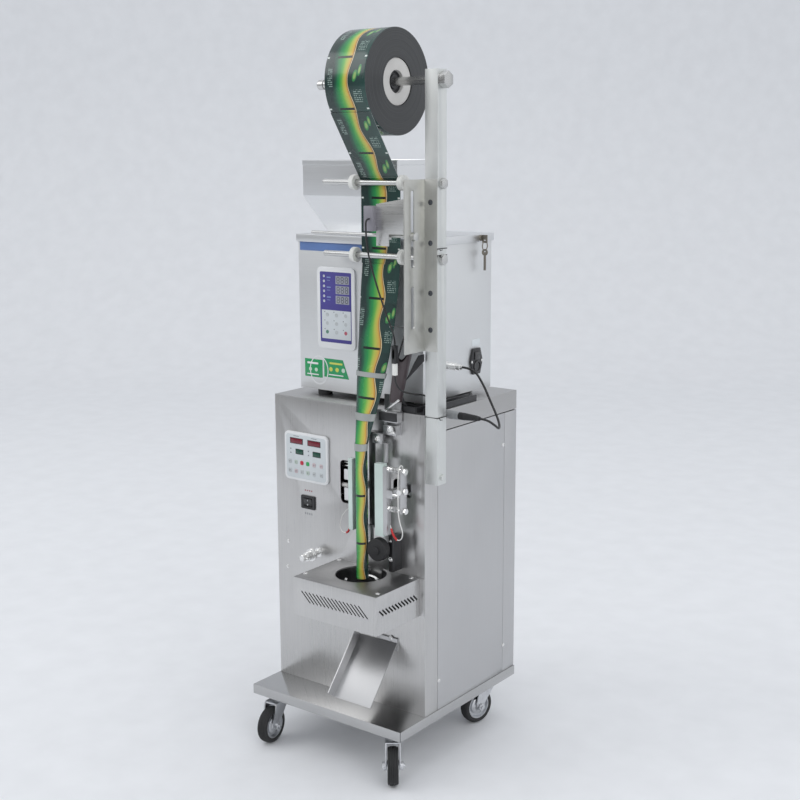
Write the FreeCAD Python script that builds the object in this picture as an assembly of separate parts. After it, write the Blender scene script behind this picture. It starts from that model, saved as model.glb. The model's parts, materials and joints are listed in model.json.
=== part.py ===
import FreeCAD, Part
import math
import os

# Three side seal packing machine: a wheeled stainless cabinet that carries a bag former, heat
# sealers and a guarded cutter on its front, a weigher with a hopper on its top, and a post on its
# right side with the film roll and its guide rods. Millimetres, +Z up, -Y is the front.

V = FreeCAD.Vector

# Sheet metal and general clearances
sheet = 2.0
skin_gap = 0.6
fit = 0.3
seat_gap = 0.3

# Cabinet, and the deck under it
cab_w = 340.0
cab_d = 290.0
cab_h = 540.0
front_return = 38.0
back_return = 40.0
cover_skirt = 35.0
cover_line = 1.6
deck_margin = 2.0
deck_front = 74.5
deck_skirt = 18.0
deck_height = 103.0

# Casters
caster_inset_x = 38.0
caster_inset_front = 28.0
caster_inset_back = 40.0
caster_plate = 50.0
caster_plate_t = 3.0
race_r = 14.0
race_h = 22.0
wheel_r = 33.5
tyre_w = 19.0
tyre_t = 9.0
hub_w = 21.5
axle_r = 4.0
fork_t = 2.5
fork_crown_t = 3.0
fork_arm_w = 24.0
crown_front = 26.0
crown_back = 15.0
caster_trail = 26.0
hub_boss_r = 8.0
dish_r = 16.0
dish_t = 15.0
disc_t = 4.0
rim_t = 2.5
rim_w = 16.0
tread_rise = 4.0
swivel_turn = {"front_left": 7.0, "front_right": 38.0, "back_right": -15.0, "back_left": 12.0}

# Post on the right side, with its film roll
post = 25.0
post_wall = 1.5
post_front = 2.0
post_foot_z = 422.0
post_len = 684.0
post_bolt_up = 12.0
post_bolt_af = 10.0
post_bolt_h = 4.0
nut_h = 13.0
nut_af = 24.0
small_nut_h = 6.0
small_nut_af = 16.0
shaft_r = 7.0
shaft_rise = 164.0
shaft_reach = 232.0
shaft_knob_r = 8.5
shaft_knob_l = 12.0
roll_r = 87.0
roll_w = 84.0
roll_right = 64.0
core_r = 39.0
core_recess = 2.0
hub_r = 18.4
hub_recess = 8.0
stop_r = 15.0
stop_l = 10.0

# Film guide rods on the post, and their nylon collars
rod_r = 5.0
rod_reach = 226.0
upper_rod_z = 925.0
shaft_z = upper_rod_z + shaft_rise
lower_rod_z = 802.0
collar_r = 13.0
collar_l = 9.0
collar_gap = 5.0

# Slotted angle on the post, with the mark sensor
angle_web = 56.0
angle_low_z = 650.0
angle_high_z = 932.0
slot_w = 9.5
slot_ends = ((790.0, 915.0), (690.0, 760.0))
slot_back = 21.5
sensor_rod_r = 3.0
sensor_rod_z = 841.0
sensor_rod_reach = 214.0
wing_r = 7.0
wing_l = 8.0
sensor_plate = (56.0, 48.0)
sensor_plate_t = 1.5
sensor_plate_drop = 9.0
sensor_plate_left = 68.5
sensor_plate_low = 844.0
sensor_tab = (26.0, 20.0)
sensor_box = (19.0, 16.0, 41.0)
sensor_box_low = 848.0
sensor_box_forward = 9.5
sensor_cord_at = (12.0, 20.0)
clamp = (15.0, 13.0, 14.0)

# Film, from the roll to the tube of bags
film_t = 0.6
film_gap = 0.4
tube_r = 11.0
tube_forward = 39.0
fold_drop = 14.0
fold_top_d = 4.0
fold_mid_z = 600.0
fold_mid = (31.0, 7.0, -10.0)
fold_low_z = 482.0
tube_low_z = 246.0

# Bag former
former_blade = (14.0, 1.5)
former_blade_low = 334.0

# Heat sealers: two upright bars that close on the film tube from both sides
seal_clear = 5.0
seal_open = 17.0
seal_d = 12.0
seal_z = (330.0, 457.0)
left_bar_w = 9.0
right_bar_w = 18.0
backing_t = 8.0
backing_inset = 4.0
seal_stop = 5.0
arm_w = 10.0
arm_h = 14.0
seal_mid_z = (seal_z[0] + seal_z[1]) / 2
left_arm_z = seal_mid_z + 5.5
right_arm_z = seal_mid_z + 13.5
right_arm_off = 7.0
pusher_off = 28.0
pusher = (4.0, 16.0, 76.0)
bolt_r = 3.0
bolt_z = (381.0, 449.0)
bolt_head_r = 5.0
bolt_head_l = 4.0
slide_gap = 6.0
slide_block = (20.0, 18.0)
slide_over = 8.0
slide_rod_r = 4.0
slide_rod_z = (368.0, 432.0)
slide_ends = (210.0, 6.0)
slide_end_t = 8.0
left_slot = (60.0, 78.0, left_arm_z)
left_slot_mid = 156.0
right_slot = (40.0, 30.0, right_arm_z)
right_slot_mid = 47.0
slot_corner = 8.0
left_seal_travel = 8.0
right_seal_travel = 15.0

# Pull wheel and its block, under the sealers
pull_r = 20.0
pull_w = 14.0
pull_z = 304.0
pull_hub_r = 7.0
pull_gap = 5.0
pull_block = (11.0, 24.0, 64.0)
pull_block_low = 262.0
pull_block_off = 9.0

# Guard box over the cutter, with its chute
guard_w = 182.0
guard_d = 123.0
guard_h = 68.0
guard_top_z = 253.5
guard_right = 10.0
guard_hole_r = 45.0
guard_hole_forward = 43.0
louvre_w = 2.2
louvre_l = 27.0
louvre_tilt = 47.0
louvre_front_n = 16
louvre_front_pitch = 8.4
louvre_side_n = 12
louvre_side_pitch = 8.6
louvre_side_w = 3.2
louvre_side_l = 16.0
louvre_z = 222.0
chute_w = 84.0
chute_wall = 20.0
chute_right = 58.0
chute_top_z = 123.0
chute_end_z = 30.0
chute_end_forward = 80.0
chute_top_forward = 3.0
chute_tab = (46.0, 22.0)

# Control panel, switch and knob on the front
panel = (103.0, 90.0)
panel_t = 5.0
panel_left = 26.0
panel_low = 386.0
panel_corner = 9.0
panel_window = (31.0, 11.0)
panel_small_window = (19.0, 10.0)
panel_red_z = 68.0
panel_green_z = 49.0
key_r = 3.6
key_t = 1.0
key_rows = (34.0, 17.0)
key_columns = (13.0, 28.0, 42.0, 56.0, 71.0, 88.0)
switch_bezel = (33.0, 25.0)
switch_left = 61.0
switch_low = 334.0
switch_t = 2.4
switch_rocker = (20.0, 16.0)
rocker_tilt = 9.0
rocker_axis_depth = 1.5
rocker_back_depth = 5.0
rocker_wing = 5.4
rocker_dip = 1.6
rocker_pin_r = 1.4
switch_wall = 1.2
switch_depth = 11.0
knob_mid = 84.0
knob_z = 256.0
knob_r = 6.5
knob_l = 34.0
knob_pin_l = 42.0
knob_pin_r = 2.5

# Weigher on the cabinet
scale_w = 279.0
scale_d = 210.0
scale_right = 32.0
scale_back = 40.0
foot_h = 10.0
foot_r = 13.0
foot_inset = 46.0
scale_h = 281.0
scale_sheet = 1.5
lid_skirt = 13.5
lid_over = 1.0
scale_panel = (87.0, 147.0)
scale_panel_t = 4.0
scale_panel_corner = 9.0
scale_panel_left = 46.0
scale_panel_low = 78.0
inlet = (38.5, 47.0)
inlet_t = 3.5
inlet_cut = 0.2
inlet_front = 140.0
inlet_low = 30.0
lock_y = 170.0
lock_r = 5.5
lock_l = 4.0
ring_r = 8.0
ring_wire = 1.0
key_size = (10.0, 2.0, 14.0)
key_eye_r = 2.2
spare_bow_r = 6.0
spare_blade = (4.0, 32.0)
hopper_w = 279.0
hopper_d = 170.0
hopper_left = 10.0
hopper_front = 1.0
hopper_top = 412.0
hopper_fold = 350.0
hopper_throat = (147.0, 70.0)
hopper_throat_left = 76.0

# Black rail on the cabinet's top, and the product funnel in front of the weigher
rail_w = 18.0
rail_h = 11.0
rail_wall = 2.0
rail_l = 158.0
rail_cross = 58.0
rail_inset = 3.0
funnel_top = (36.0, 34.0)
funnel_low = (20.0, 18.0)
funnel_z = (596.0, 664.0)
funnel_right = 26.0
funnel_back = 18.0
funnel_low_at = (48.0, 6.0)
funnel_wall = 1.5
spout_r = 9.0
spout_end = (66.0, 17.0, 568.0)
leg_at = (26.0, 12.0)
leg_r = 2.5
tie_r = 2.0
leg_foot = (16.0, 16.0, 2.0)

# Former bracket on the front's top edge
bracket_w = 36.0
bracket_right = 48.0
bracket_back = 2.6
bracket_drop = 40.0
bracket_rise = 29.0
bracket_block = (36.0, 15.0, 19.0)
bracket_block_low = 524.0
bracket_clamp = (28.0, 12.0, 17.0)
bracket_clamp_low = 501.0
arm_block = (26.0, 14.0, 14.0)
arm_block_low = 490.0
arm_forward = 20.5

# Connectors and cords: one cord on the right side, one from the mark sensor to the rail
side_plug_r = (6.5, 4.0)
side_plug_l = 42.0
socket_r = 7.5
socket_l = 28.0
socket_y = 62.0
socket_z = 533.0
chrome_r = 6.0
chrome_l = 36.0
chrome_nut_r = 8.0
chrome_y = 107.0
chrome_z = 608.0
side_cord_r = 2.0
sensor_cord_r = 1.5
coupler = (9.0, 9.0, 30.0)
coupler_end = (7.0, 7.0, 20.0)
coupler_at = (37.0, 33.0, 630.0)

# Where the cabinet stands: the origin is under the middle of the whole machine
reach_right = post + nut_h
cab_right = (cab_w + deck_margin - reach_right) / 2
cab_left = cab_right - cab_w
cab_front = (guard_d - cab_d) / 2
cab_back = cab_front + cab_d
deck_top = deck_height
cab_top = deck_top + cab_h
post_mid_y = cab_front + post_front + post / 2
post_top = deck_top + post_foot_z + post_len
film_x = cab_right - roll_right - roll_w / 2
tube_y = cab_front - tube_forward
scale_x = cab_right - scale_right - scale_w
scale_y = cab_front + scale_back
scale_low = cab_top + foot_h
scale_top = scale_low + scale_h


def box(x0, x1, y0, y1, z0, z1):
    """A block between two corners."""
    return Part.makeBox(x1 - x0, y1 - y0, z1 - z0, V(x0, y0, z0))


def cyl(point, direction, r, length):
    """A round bar from a point along a direction."""
    return Part.makeCylinder(r, length, V(*point), V(*direction))


def ring(point, direction, r_out, r_in, length):
    """A round bar with a bore."""
    return cyl(point, direction, r_out, length).cut(cyl(point, direction, r_in, length))


def plate_xz(x0, x1, z0, z1, y0, y1, corner):
    """A plate in the XZ plane with round corners."""
    body = box(x0, x1, y0, y1, z0, z1)
    edges = [e for e in body.Edges if abs(e.tangentAt(e.FirstParameter).y) > 0.9]
    return body.makeFillet(corner, edges)


def prism(points, direction, length):
    """A solid from a flat outline, carried along a direction."""
    wire = Part.makePolygon([V(*p) for p in points] + [V(*points[0])])
    d = V(*direction)
    d.multiply(length)
    return Part.Face(wire).extrude(d)


def frustum(low, high):
    """A solid between two level rectangles, each given as x0, x1, y0, y1 and z."""
    a, b = [[V(x0, y0, z), V(x1, y0, z), V(x1, y1, z), V(x0, y1, z)] for x0, x1, y0, y1, z in (low, high)]
    loops = [a, b] + [[a[k], a[(k + 1) % 4], b[(k + 1) % 4], b[k]] for k in range(4)]
    faces = [Part.Face(Part.makePolygon(loop + [loop[0]])) for loop in loops]
    body = Part.makeSolid(Part.makeShell(faces))
    if body.Volume < 0:
        body.reverse()
    return body


def hexagon_x(x, y, z, flats, length):
    """A hexagon bar along +X, with its corners up and down."""
    r = flats / math.sqrt(3)
    pts = [(x, y + r * math.sin(math.radians(60 * k)), z + r * math.cos(math.radians(60 * k)))
           for k in range(6)]
    return prism(pts, (1, 0, 0), length)


def fuse(parts):
    """One solid from several that touch or overlap."""
    body = parts[0]
    for other in parts[1:]:
        body = body.fuse(other)
    return body.removeSplitter()


def turned(shape, degrees, point, axis=(0, 0, 1)):
    """A copy turned about an axis through a point."""
    out = shape.copy()
    out.rotate(V(*point), V(*axis), degrees)
    return out


nodes = {}


def add(name, shapes):
    """Keeps a node's solids, to be written at the end."""
    nodes[name] = shapes if isinstance(shapes, list) else [shapes]


# Deck: a folded pan with its skirts down
def make_deck():
    """The deck is one sheet, folded down on four sides."""
    x0, x1 = cab_left - deck_margin, cab_right + deck_margin
    y0, y1 = cab_front - deck_front, cab_back
    pan = box(x0, x1, y0, y1, deck_top - deck_skirt, deck_top)
    inside = box(x0 + sheet, x1 - sheet, y0 + sheet, y1 - sheet,
                 deck_top - deck_skirt, deck_top - sheet)
    add("base_deck", pan.cut(inside))


def slot_x(mid, size, y0, y1):
    """A slot cutter with round corners, through the front sheet."""
    w, h, z = size
    x = cab_right - mid
    zz = deck_top + z
    return plate_xz(x - w / 2, x + w / 2, zz - h / 2, zz + h / 2, y0, y1, slot_corner)


def switch_middle():
    """Returns where the rocker switch's middle is on the front, as x and z."""
    w, h = switch_bezel
    return cab_left + switch_left + w / 2, deck_top + switch_low + h / 2


def switch_housing_size():
    """Returns the outer width and height of the box behind the bezel."""
    w, h = switch_rocker
    return w + 2 * (fit + switch_wall), h + 2 * (fit + switch_wall)


def make_cabinet():
    """The cabinet is a front, a back, two sides and a top, all of folded sheet."""
    z0, z1 = deck_top, cab_top - sheet
    x0, x1, y0, y1 = cab_left, cab_right, cab_front, cab_back
    side_top = cab_top - cover_skirt - cover_line
    front = box(x0, x1, y0, y0 + sheet, z0, z1)
    for xa in (x0, x1 - sheet):
        front = front.fuse(box(xa, xa + sheet, y0, y0 + front_return, z0, side_top))
    front = front.cut(slot_x(left_slot_mid, left_slot, y0 - 1, y0 + sheet + 1))
    front = front.cut(slot_x(right_slot_mid, right_slot, y0 - 1, y0 + sheet + 1))
    hw, hh = switch_housing_size()
    sx, sz = switch_middle()
    front = front.cut(box(sx - hw / 2 - skin_gap / 2, sx + hw / 2 + skin_gap / 2, y0 - 1, y0 + sheet + 1,
                          sz - hh / 2 - skin_gap / 2, sz + hh / 2 + skin_gap / 2))
    add("front_panel", front.removeSplitter())

    back = box(x0, x1, y1 - sheet, y1, z0, side_top)
    for xa in (x0, x1 - sheet):
        back = back.fuse(box(xa, xa + sheet, y1 - back_return, y1, z0, side_top))
    add("back_panel", back.removeSplitter())

    sides = [box(xa, xa + sheet, y0 + front_return + skin_gap, y1 - back_return - skin_gap, z0, side_top)
             for xa in (x0, x1 - sheet)]
    add("side_panels", sides)

    cover = box(x0, x1, y0, y1, cab_top - sheet, cab_top)
    skirt_low = cab_top - cover_skirt
    for xa in (x0, x1 - sheet):
        cover = cover.fuse(box(xa, xa + sheet, y0 + sheet, y1, skirt_low, cab_top))
    cover = cover.fuse(box(x0, x1, y1 - sheet, y1, skirt_low, cab_top))
    add("top_cover", cover.removeSplitter())


caster_places = {
    "front_left": (cab_left - deck_margin + caster_inset_x, cab_front - deck_front + caster_inset_front),
    "front_right": (cab_right + deck_margin - caster_inset_x, cab_front - deck_front + caster_inset_front),
    "back_left": (cab_left - deck_margin + caster_inset_x, cab_back - caster_inset_back),
    "back_right": (cab_right + deck_margin - caster_inset_x, cab_back - caster_inset_back),
}
plate_low = deck_top - sheet - caster_plate_t
race_low = plate_low - race_h


def make_fork(x, y):
    """A fork has a flat crown and two arms that run forward to the axle."""
    crown_top = race_low - seat_gap
    crown_low = crown_top - fork_crown_t
    inner = hub_w / 2 + fit
    outer = inner + fork_t
    ay = y - caster_trail
    parts = [box(x - outer, x + outer, y - crown_front, y + crown_back, crown_low, crown_top)]
    for side in (-1, 1):
        xa = x + side * inner if side > 0 else x - outer
        top_back, top_front = y + crown_back, y - crown_front
        r = fork_arm_w / 2
        arm = prism([(xa, top_back, crown_top), (xa, top_front, crown_top),
                     (xa, ay - r * 0.8, wheel_r + 6), (xa, ay - r * 0.55, wheel_r - r * 0.4),
                     (xa, ay + r * 0.55, wheel_r - r * 0.4), (xa, ay + r * 0.95, wheel_r + 6)],
                    (1, 0, 0), fork_t)
        parts.append(arm)
        head = x + side * outer if side > 0 else x - outer - 4.5
        parts.append(hexagon_x(head, ay, wheel_r, 13.0, 4.5))
    parts.append(cyl((x - outer, ay, wheel_r), (1, 0, 0), axle_r, 2 * outer))
    return fuse(parts)


def make_caster_wheel(x, y):
    """A metal disc hub with a rim, and a rubber tyre of round tread on it."""
    ay = y - caster_trail
    rim_r = wheel_r - tyre_t
    hub = [(axle_r + fit, hub_w / 2), (hub_boss_r, hub_w / 2), (dish_r, dish_t / 2), (dish_r + 1, disc_t / 2),
           (rim_r - rim_t, disc_t / 2), (rim_r - rim_t, rim_w / 2), (rim_r, rim_w / 2)]
    pts = [V(x + w, ay, wheel_r + r) for r, w in hub] + [V(x - w, ay, wheel_r + r) for r, w in hub[::-1]]
    disc = Part.Face(Part.makePolygon(pts + [pts[0]])).revolve(V(x, ay, wheel_r), V(1, 0, 0), 360)
    w = tyre_w / 2
    shoulder_r = wheel_r - tread_rise
    a = [(rim_r + 0.1, -w), (shoulder_r, -w)]
    b = [(shoulder_r, w), (rim_r + 0.1, w)]
    p = [V(x + q, ay, wheel_r + r) for r, q in a + b]
    tread = Part.Arc(p[1], V(x, ay, 2 * wheel_r), p[2]).toShape()
    wire = Part.Wire([Part.makeLine(p[0], p[1]), tread, Part.makeLine(p[2], p[3]), Part.makeLine(p[3], p[0])])
    tyre = Part.Face(wire).revolve(V(x, ay, wheel_r), V(1, 0, 0), 360)
    return disc, tyre


def make_casters():
    """Four swivel casters stand under the deck's corners."""
    plates = []
    for name, (x, y) in caster_places.items():
        h = caster_plate / 2
        top = box(x - h, x + h, y - h, y + h, plate_low, plate_low + caster_plate_t)
        race = cyl((x, y, race_low), (0, 0, 1), race_r, race_h)
        plates.append(fuse([top, race]))
        turn = swivel_turn[name]
        add("caster_fork_" + name, turned(make_fork(x, y), turn, (x, y, 0)))
        disc, tyre = make_caster_wheel(x, y)
        add("caster_wheel_" + name, [turned(disc, turn, (x, y, 0)), turned(tyre, turn, (x, y, 0))])
    add("caster_plates", plates)


def make_post():
    """The post is a square tube, bolted to the cabinet's right side."""
    x0, y0 = cab_right, cab_front + post_front
    z0, z1 = deck_top + post_foot_z, post_top
    tube = box(x0, x0 + post, y0, y0 + post, z0, z1)
    tube = tube.cut(box(x0 + post_wall, x0 + post - post_wall, y0 + post_wall, y0 + post - post_wall, z0, z1))
    holes = ((shaft_z, shaft_r), (upper_rod_z, rod_r), (lower_rod_z, rod_r))
    for z, r in holes:
        tube = tube.cut(cyl((x0 - 1, post_mid_y, deck_top + z), (1, 0, 0), r, post + 2))
    bolt = hexagon_x(x0 + post, post_mid_y, deck_top + post_foot_z + post_bolt_up, post_bolt_af, post_bolt_h)
    add("film_post", [tube, bolt])


def make_roll():
    """The shaft runs through the post, and the roll turns on it."""
    z = deck_top + shaft_z
    left = cab_right - shaft_reach
    right = cab_right + post
    shaft = cyl((left, post_mid_y, z), (1, 0, 0), shaft_r, right + nut_h - left)
    nut = hexagon_x(right, post_mid_y, z, nut_af, nut_h)
    knob = cyl((left, post_mid_y, z), (1, 0, 0), shaft_knob_r, shaft_knob_l)
    roll_x1 = cab_right - roll_right
    roll_x0 = roll_x1 - roll_w
    stop = cyl((roll_x0 - stop_l - seat_gap, post_mid_y, z), (1, 0, 0), stop_r, stop_l)
    add("roll_shaft", fuse([shaft, nut, knob, stop]))
    add("film_roll", ring((roll_x0, post_mid_y, z), (1, 0, 0), roll_r, core_r, roll_w))
    core = ring((roll_x0, post_mid_y, z), (1, 0, 0), core_r - 0.1, hub_r, roll_w - core_recess)
    hub = ring((roll_x0, post_mid_y, z), (1, 0, 0), hub_r - 0.1, shaft_r + fit, roll_w - hub_recess)
    add("roll_core", [core, hub])


def make_guides():
    """Two guide rods run through the post, each with two nylon collars beside the film."""
    rods = []
    collars = []
    for rod_z in (upper_rod_z, lower_rod_z):
        z = deck_top + rod_z
        left = cab_right - rod_reach
        right = cab_right + post
        rod = cyl((left, post_mid_y, z), (1, 0, 0), rod_r, right + small_nut_h - left)
        nut = hexagon_x(right, post_mid_y, z, small_nut_af, small_nut_h)
        rods.append(fuse([rod, nut]))
        for x in (film_x - roll_w / 2 - collar_gap - collar_l, film_x + roll_w / 2 + collar_gap):
            collars.append(ring((x, post_mid_y, z), (1, 0, 0), collar_r, rod_r + 0.1, collar_l))
    add("guide_rods", rods)
    add("guide_collars", collars)


def make_angle():
    """The slotted angle's flange lies on the post's front, and its web stands forward."""
    x0 = cab_right - sheet
    z0, z1 = deck_top + angle_low_z, deck_top + angle_high_z
    flange = box(x0, cab_right + post, cab_front, cab_front + post_front, z0, z1)
    web_front = cab_front + post_front - angle_web
    web = box(x0, cab_right, web_front, cab_front + post_front, z0, z1)
    angle = flange.fuse(web)
    y = web_front + slot_back
    for low, high in slot_ends:
        angle = angle.cut(box(x0 - 1, cab_right + 1, y - slot_w / 2, y + slot_w / 2,
                              deck_top + low + slot_w / 2, deck_top + high - slot_w / 2))
        for end in (low + slot_w / 2, high - slot_w / 2):
            angle = angle.cut(cyl((x0 - 1, y, deck_top + end), (1, 0, 0), slot_w / 2, sheet + 2))
    add("slotted_angle", angle.removeSplitter())
    return y


def make_sensor(y):
    """The sensor rod is clamped in the slot and carries a plate and the mark sensor."""
    z = deck_top + sensor_rod_z
    left = cab_right - sensor_rod_reach
    rod = cyl((left, y, z), (1, 0, 0), sensor_rod_r, sensor_rod_reach + wing_l)
    inner = cyl((cab_right - sheet - 4, y, z), (1, 0, 0), slot_w * 0.8, 4)
    wing = cyl((cab_right, y, z), (1, 0, 0), wing_r, wing_l)
    rod = fuse([rod, inner, wing])
    px = cab_right - sensor_plate_left
    w, h = sensor_plate
    zl = deck_top + sensor_plate_low
    cw, cd, ch = clamp
    front = y - cd / 2 - sensor_plate_t
    tab_w, tab_drop = sensor_tab
    outline = [(px, zl - tab_drop), (px + tab_w, zl - tab_drop), (px + tab_w, zl), (px + w, zl),
               (px + w, zl + h + sensor_plate_drop), (px, zl + h)]
    plate = prism([(a, front, b) for a, b in outline], (0, 1, 0), sensor_plate_t)
    cx = px + tab_w / 2
    block = box(cx - cw / 2, cx + cw / 2, front + sensor_plate_t, y + cd / 2, z - ch / 2, z + ch / 2)
    holder = fuse([plate, block]).cut(cyl((left, y, z), (1, 0, 0), sensor_rod_r + 0.1, sensor_rod_reach))
    add("sensor_rod", [rod, holder])
    bw, bd, bh = sensor_box
    bz = deck_top + sensor_box_low
    box_front = front - sensor_box_forward
    body = box(px - bw, px, box_front, box_front + bd, bz, bz + bh)
    edges = [e for e in body.Edges if abs(e.tangentAt(e.FirstParameter).z) > 0.9]
    add("mark_sensor", body.makeFillet(1.2, [e for e in edges if e.BoundBox.XMax < px - 1]))
    return px - bw + sensor_cord_at[0], box_front, bz + sensor_cord_at[1]


def make_film():
    """The film leaves the roll's front, passes behind both rods and folds into the tube of bags."""
    x0, x1 = film_x - roll_w / 2, film_x + roll_w / 2
    oy = post_mid_y
    z_roll, z_up, z_low = deck_top + shaft_z, deck_top + upper_rod_z, deck_top + lower_rod_z
    big, small = roll_r + film_gap, rod_r + film_gap
    lean = math.asin((big + film_t + small) / (z_roll - z_up))
    cy, cz = math.cos(lean), math.sin(lean)

    def on_rod(r):
        return (x0, oy + r * cy, z_up + r * cz)

    def on_roll(r):
        return (x0, oy - r * cy, z_roll - r * cz)

    slope = prism([on_rod(small), on_rod(small + film_t), on_roll(big), on_roll(big + film_t)],
                  (1, 0, 0), roll_w)
    bend = ring((x0, oy, z_up), (1, 0, 0), small + film_t, small, roll_w)
    far = 3 * small
    wedge = prism([(x0, oy, z_up), (x0, oy + far, z_up), (x0, oy + far * cy, z_up + far * cz)],
                  (1, 0, 0), roll_w)
    z_fold = z_low - fold_drop
    drop = box(x0, x1, oy + small, oy + small + film_t, z_fold, z_up)
    add("film_web", fuse([slope, bend.common(wedge), drop]))

    a, b, y_mid = fold_mid
    sections = ((z_fold, roll_w / 2, fold_top_d / 2, oy + small + film_t / 2),
                (deck_top + fold_mid_z, a, b, cab_front + y_mid),
                (deck_top + fold_low_z, tube_r, tube_r - 0.1, tube_y))
    wires = [Part.Wire(Part.Ellipse(V(film_x, y, z), major, minor).toShape())
             for z, major, minor, y in sections]
    fold = Part.makeLoft(wires, True, False)
    low = deck_top + tube_low_z
    tube = cyl((film_x, tube_y, low), (0, 0, 1), tube_r, deck_top + fold_low_z - low)
    add("film_tube", [fold, tube])


def make_carriage(parts, arm_x, arm_y, arm_z):
    """A carriage: the parts in front, an arm through the front sheet and a block on two rods."""
    z = deck_top + arm_z
    ry = cab_front + sheet + slide_gap + slide_block[1] / 2
    arm = box(arm_x - arm_w / 2, arm_x + arm_w / 2, arm_y, ry, z - arm_h / 2, z + arm_h / 2)
    rods_z = [deck_top + rod_z for rod_z in slide_rod_z]
    block = box(arm_x - slide_block[0] / 2, arm_x + slide_block[0] / 2, ry - slide_block[1] / 2,
                ry + slide_block[1] / 2, rods_z[0] - slide_over, rods_z[1] + slide_over)
    body = fuse(parts + [arm, block])
    for rod_z in rods_z:
        body = body.cut(cyl((cab_left, ry, rod_z), (1, 0, 0), slide_rod_r + fit, cab_w))
    return body


def make_sealers():
    """Two upright heater bars close on the film tube, on carriages that slide behind the front."""
    y0, y1 = tube_y - seal_d / 2, tube_y + seal_d / 2
    z0, z1 = deck_top + seal_z[0], deck_top + seal_z[1]
    left_face = film_x - tube_r - seal_clear
    right_face = film_x + tube_r + seal_stop + seal_open
    left_back, right_back = left_face - left_bar_w, right_face + right_bar_w
    add("left_heater_bar", box(left_back, left_face, y0, y1, z0, z1))
    add("right_heater_bar", box(right_face, right_back, y0, y1, z0, z1))

    inner_z0, inner_z1 = z0 + backing_inset, z1 - backing_inset
    behind = box(left_back, left_face, y1, y1 + backing_t, inner_z0, inner_z1)
    add("left_heater_carriage", make_carriage([behind], left_back - arm_w / 2, y1, left_arm_z))

    far = right_back + backing_t
    right_arm_x = far + right_arm_off
    arm_mid = deck_top + right_arm_z
    push_x = far + pusher_off
    push_w, push_d, push_h = pusher
    push_mid = deck_top + (bolt_z[0] + bolt_z[1]) / 2
    parts = [
        box(right_back, far, y0, y1, inner_z0, inner_z1),
        box(far, right_arm_x + arm_w / 2, y0, y1, arm_mid - arm_h / 2, arm_mid + arm_h / 2),
        box(push_x, push_x + push_w, tube_y - push_d / 2, tube_y + push_d / 2,
            push_mid - push_h / 2, push_mid + push_h / 2),
    ]
    for z in bolt_z:
        start = (right_back, tube_y, deck_top + z)
        parts.append(cyl(start, (1, 0, 0), bolt_r, push_x + push_w - right_back + bolt_head_l))
        head = (push_x + push_w, tube_y, deck_top + z)
        parts.append(cyl(head, (1, 0, 0), bolt_head_r, bolt_head_l))
    add("right_heater_carriage", make_carriage(parts, right_arm_x, y0, right_arm_z))

    ry = cab_front + sheet + slide_gap + slide_block[1] / 2
    x_left, x_right = cab_right - slide_ends[0], cab_right - slide_ends[1]
    rods_z = [deck_top + z for z in slide_rod_z]
    frame = [cyl((x_left, ry, z), (1, 0, 0), slide_rod_r, x_right - x_left) for z in rods_z]
    for x in (x_left, x_right - slide_end_t):
        frame.append(box(x, x + slide_end_t, cab_front + sheet, ry + slide_block[1] / 2,
                         rods_z[0] - slide_over, rods_z[1] + slide_over))
    add("sealer_slide", fuse(frame))


def make_puller():
    """The rubber pull wheel grips the film's right edge, beside its black block."""
    z = deck_top + pull_z
    x = film_x + tube_r + pull_gap + pull_r
    y0 = tube_y - pull_w / 2
    wheel = cyl((x, y0, z), (0, 1, 0), pull_r, pull_w)
    edges = [e for e in wheel.Edges if abs(e.Length - 2 * math.pi * pull_r) < 0.1]
    wheel = wheel.makeFillet(1.5, edges)
    axle = cyl((x, y0 - 3, z), (0, 1, 0), pull_hub_r * 0.7, cab_front - seat_gap - y0 + 3)
    cap = cyl((x, y0 - 3, z), (0, 1, 0), pull_hub_r, 3)
    add("pull_wheel", fuse([wheel, axle, cap]))
    w, d, h = pull_block
    xb = x + pull_block_off
    block = box(xb, xb + w, cab_front - d, cab_front, deck_top + pull_block_low, deck_top + pull_block_low + h)
    edges = [e for e in block.Edges if abs(e.tangentAt(e.FirstParameter).z) > 0.9
             and e.BoundBox.YMax < cab_front - 1]
    add("pull_block", block.makeFillet(3.0, edges))


def louvre(x, z, length, tilt, y0, y1):
    """A slanted slot cutter through a sheet in the XZ plane."""
    cut = box(x - louvre_w / 2, x + louvre_w / 2, y0, y1, z - length / 2, z + length / 2)
    return turned(cut, tilt, (x, y0, z), (0, 1, 0))


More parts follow.
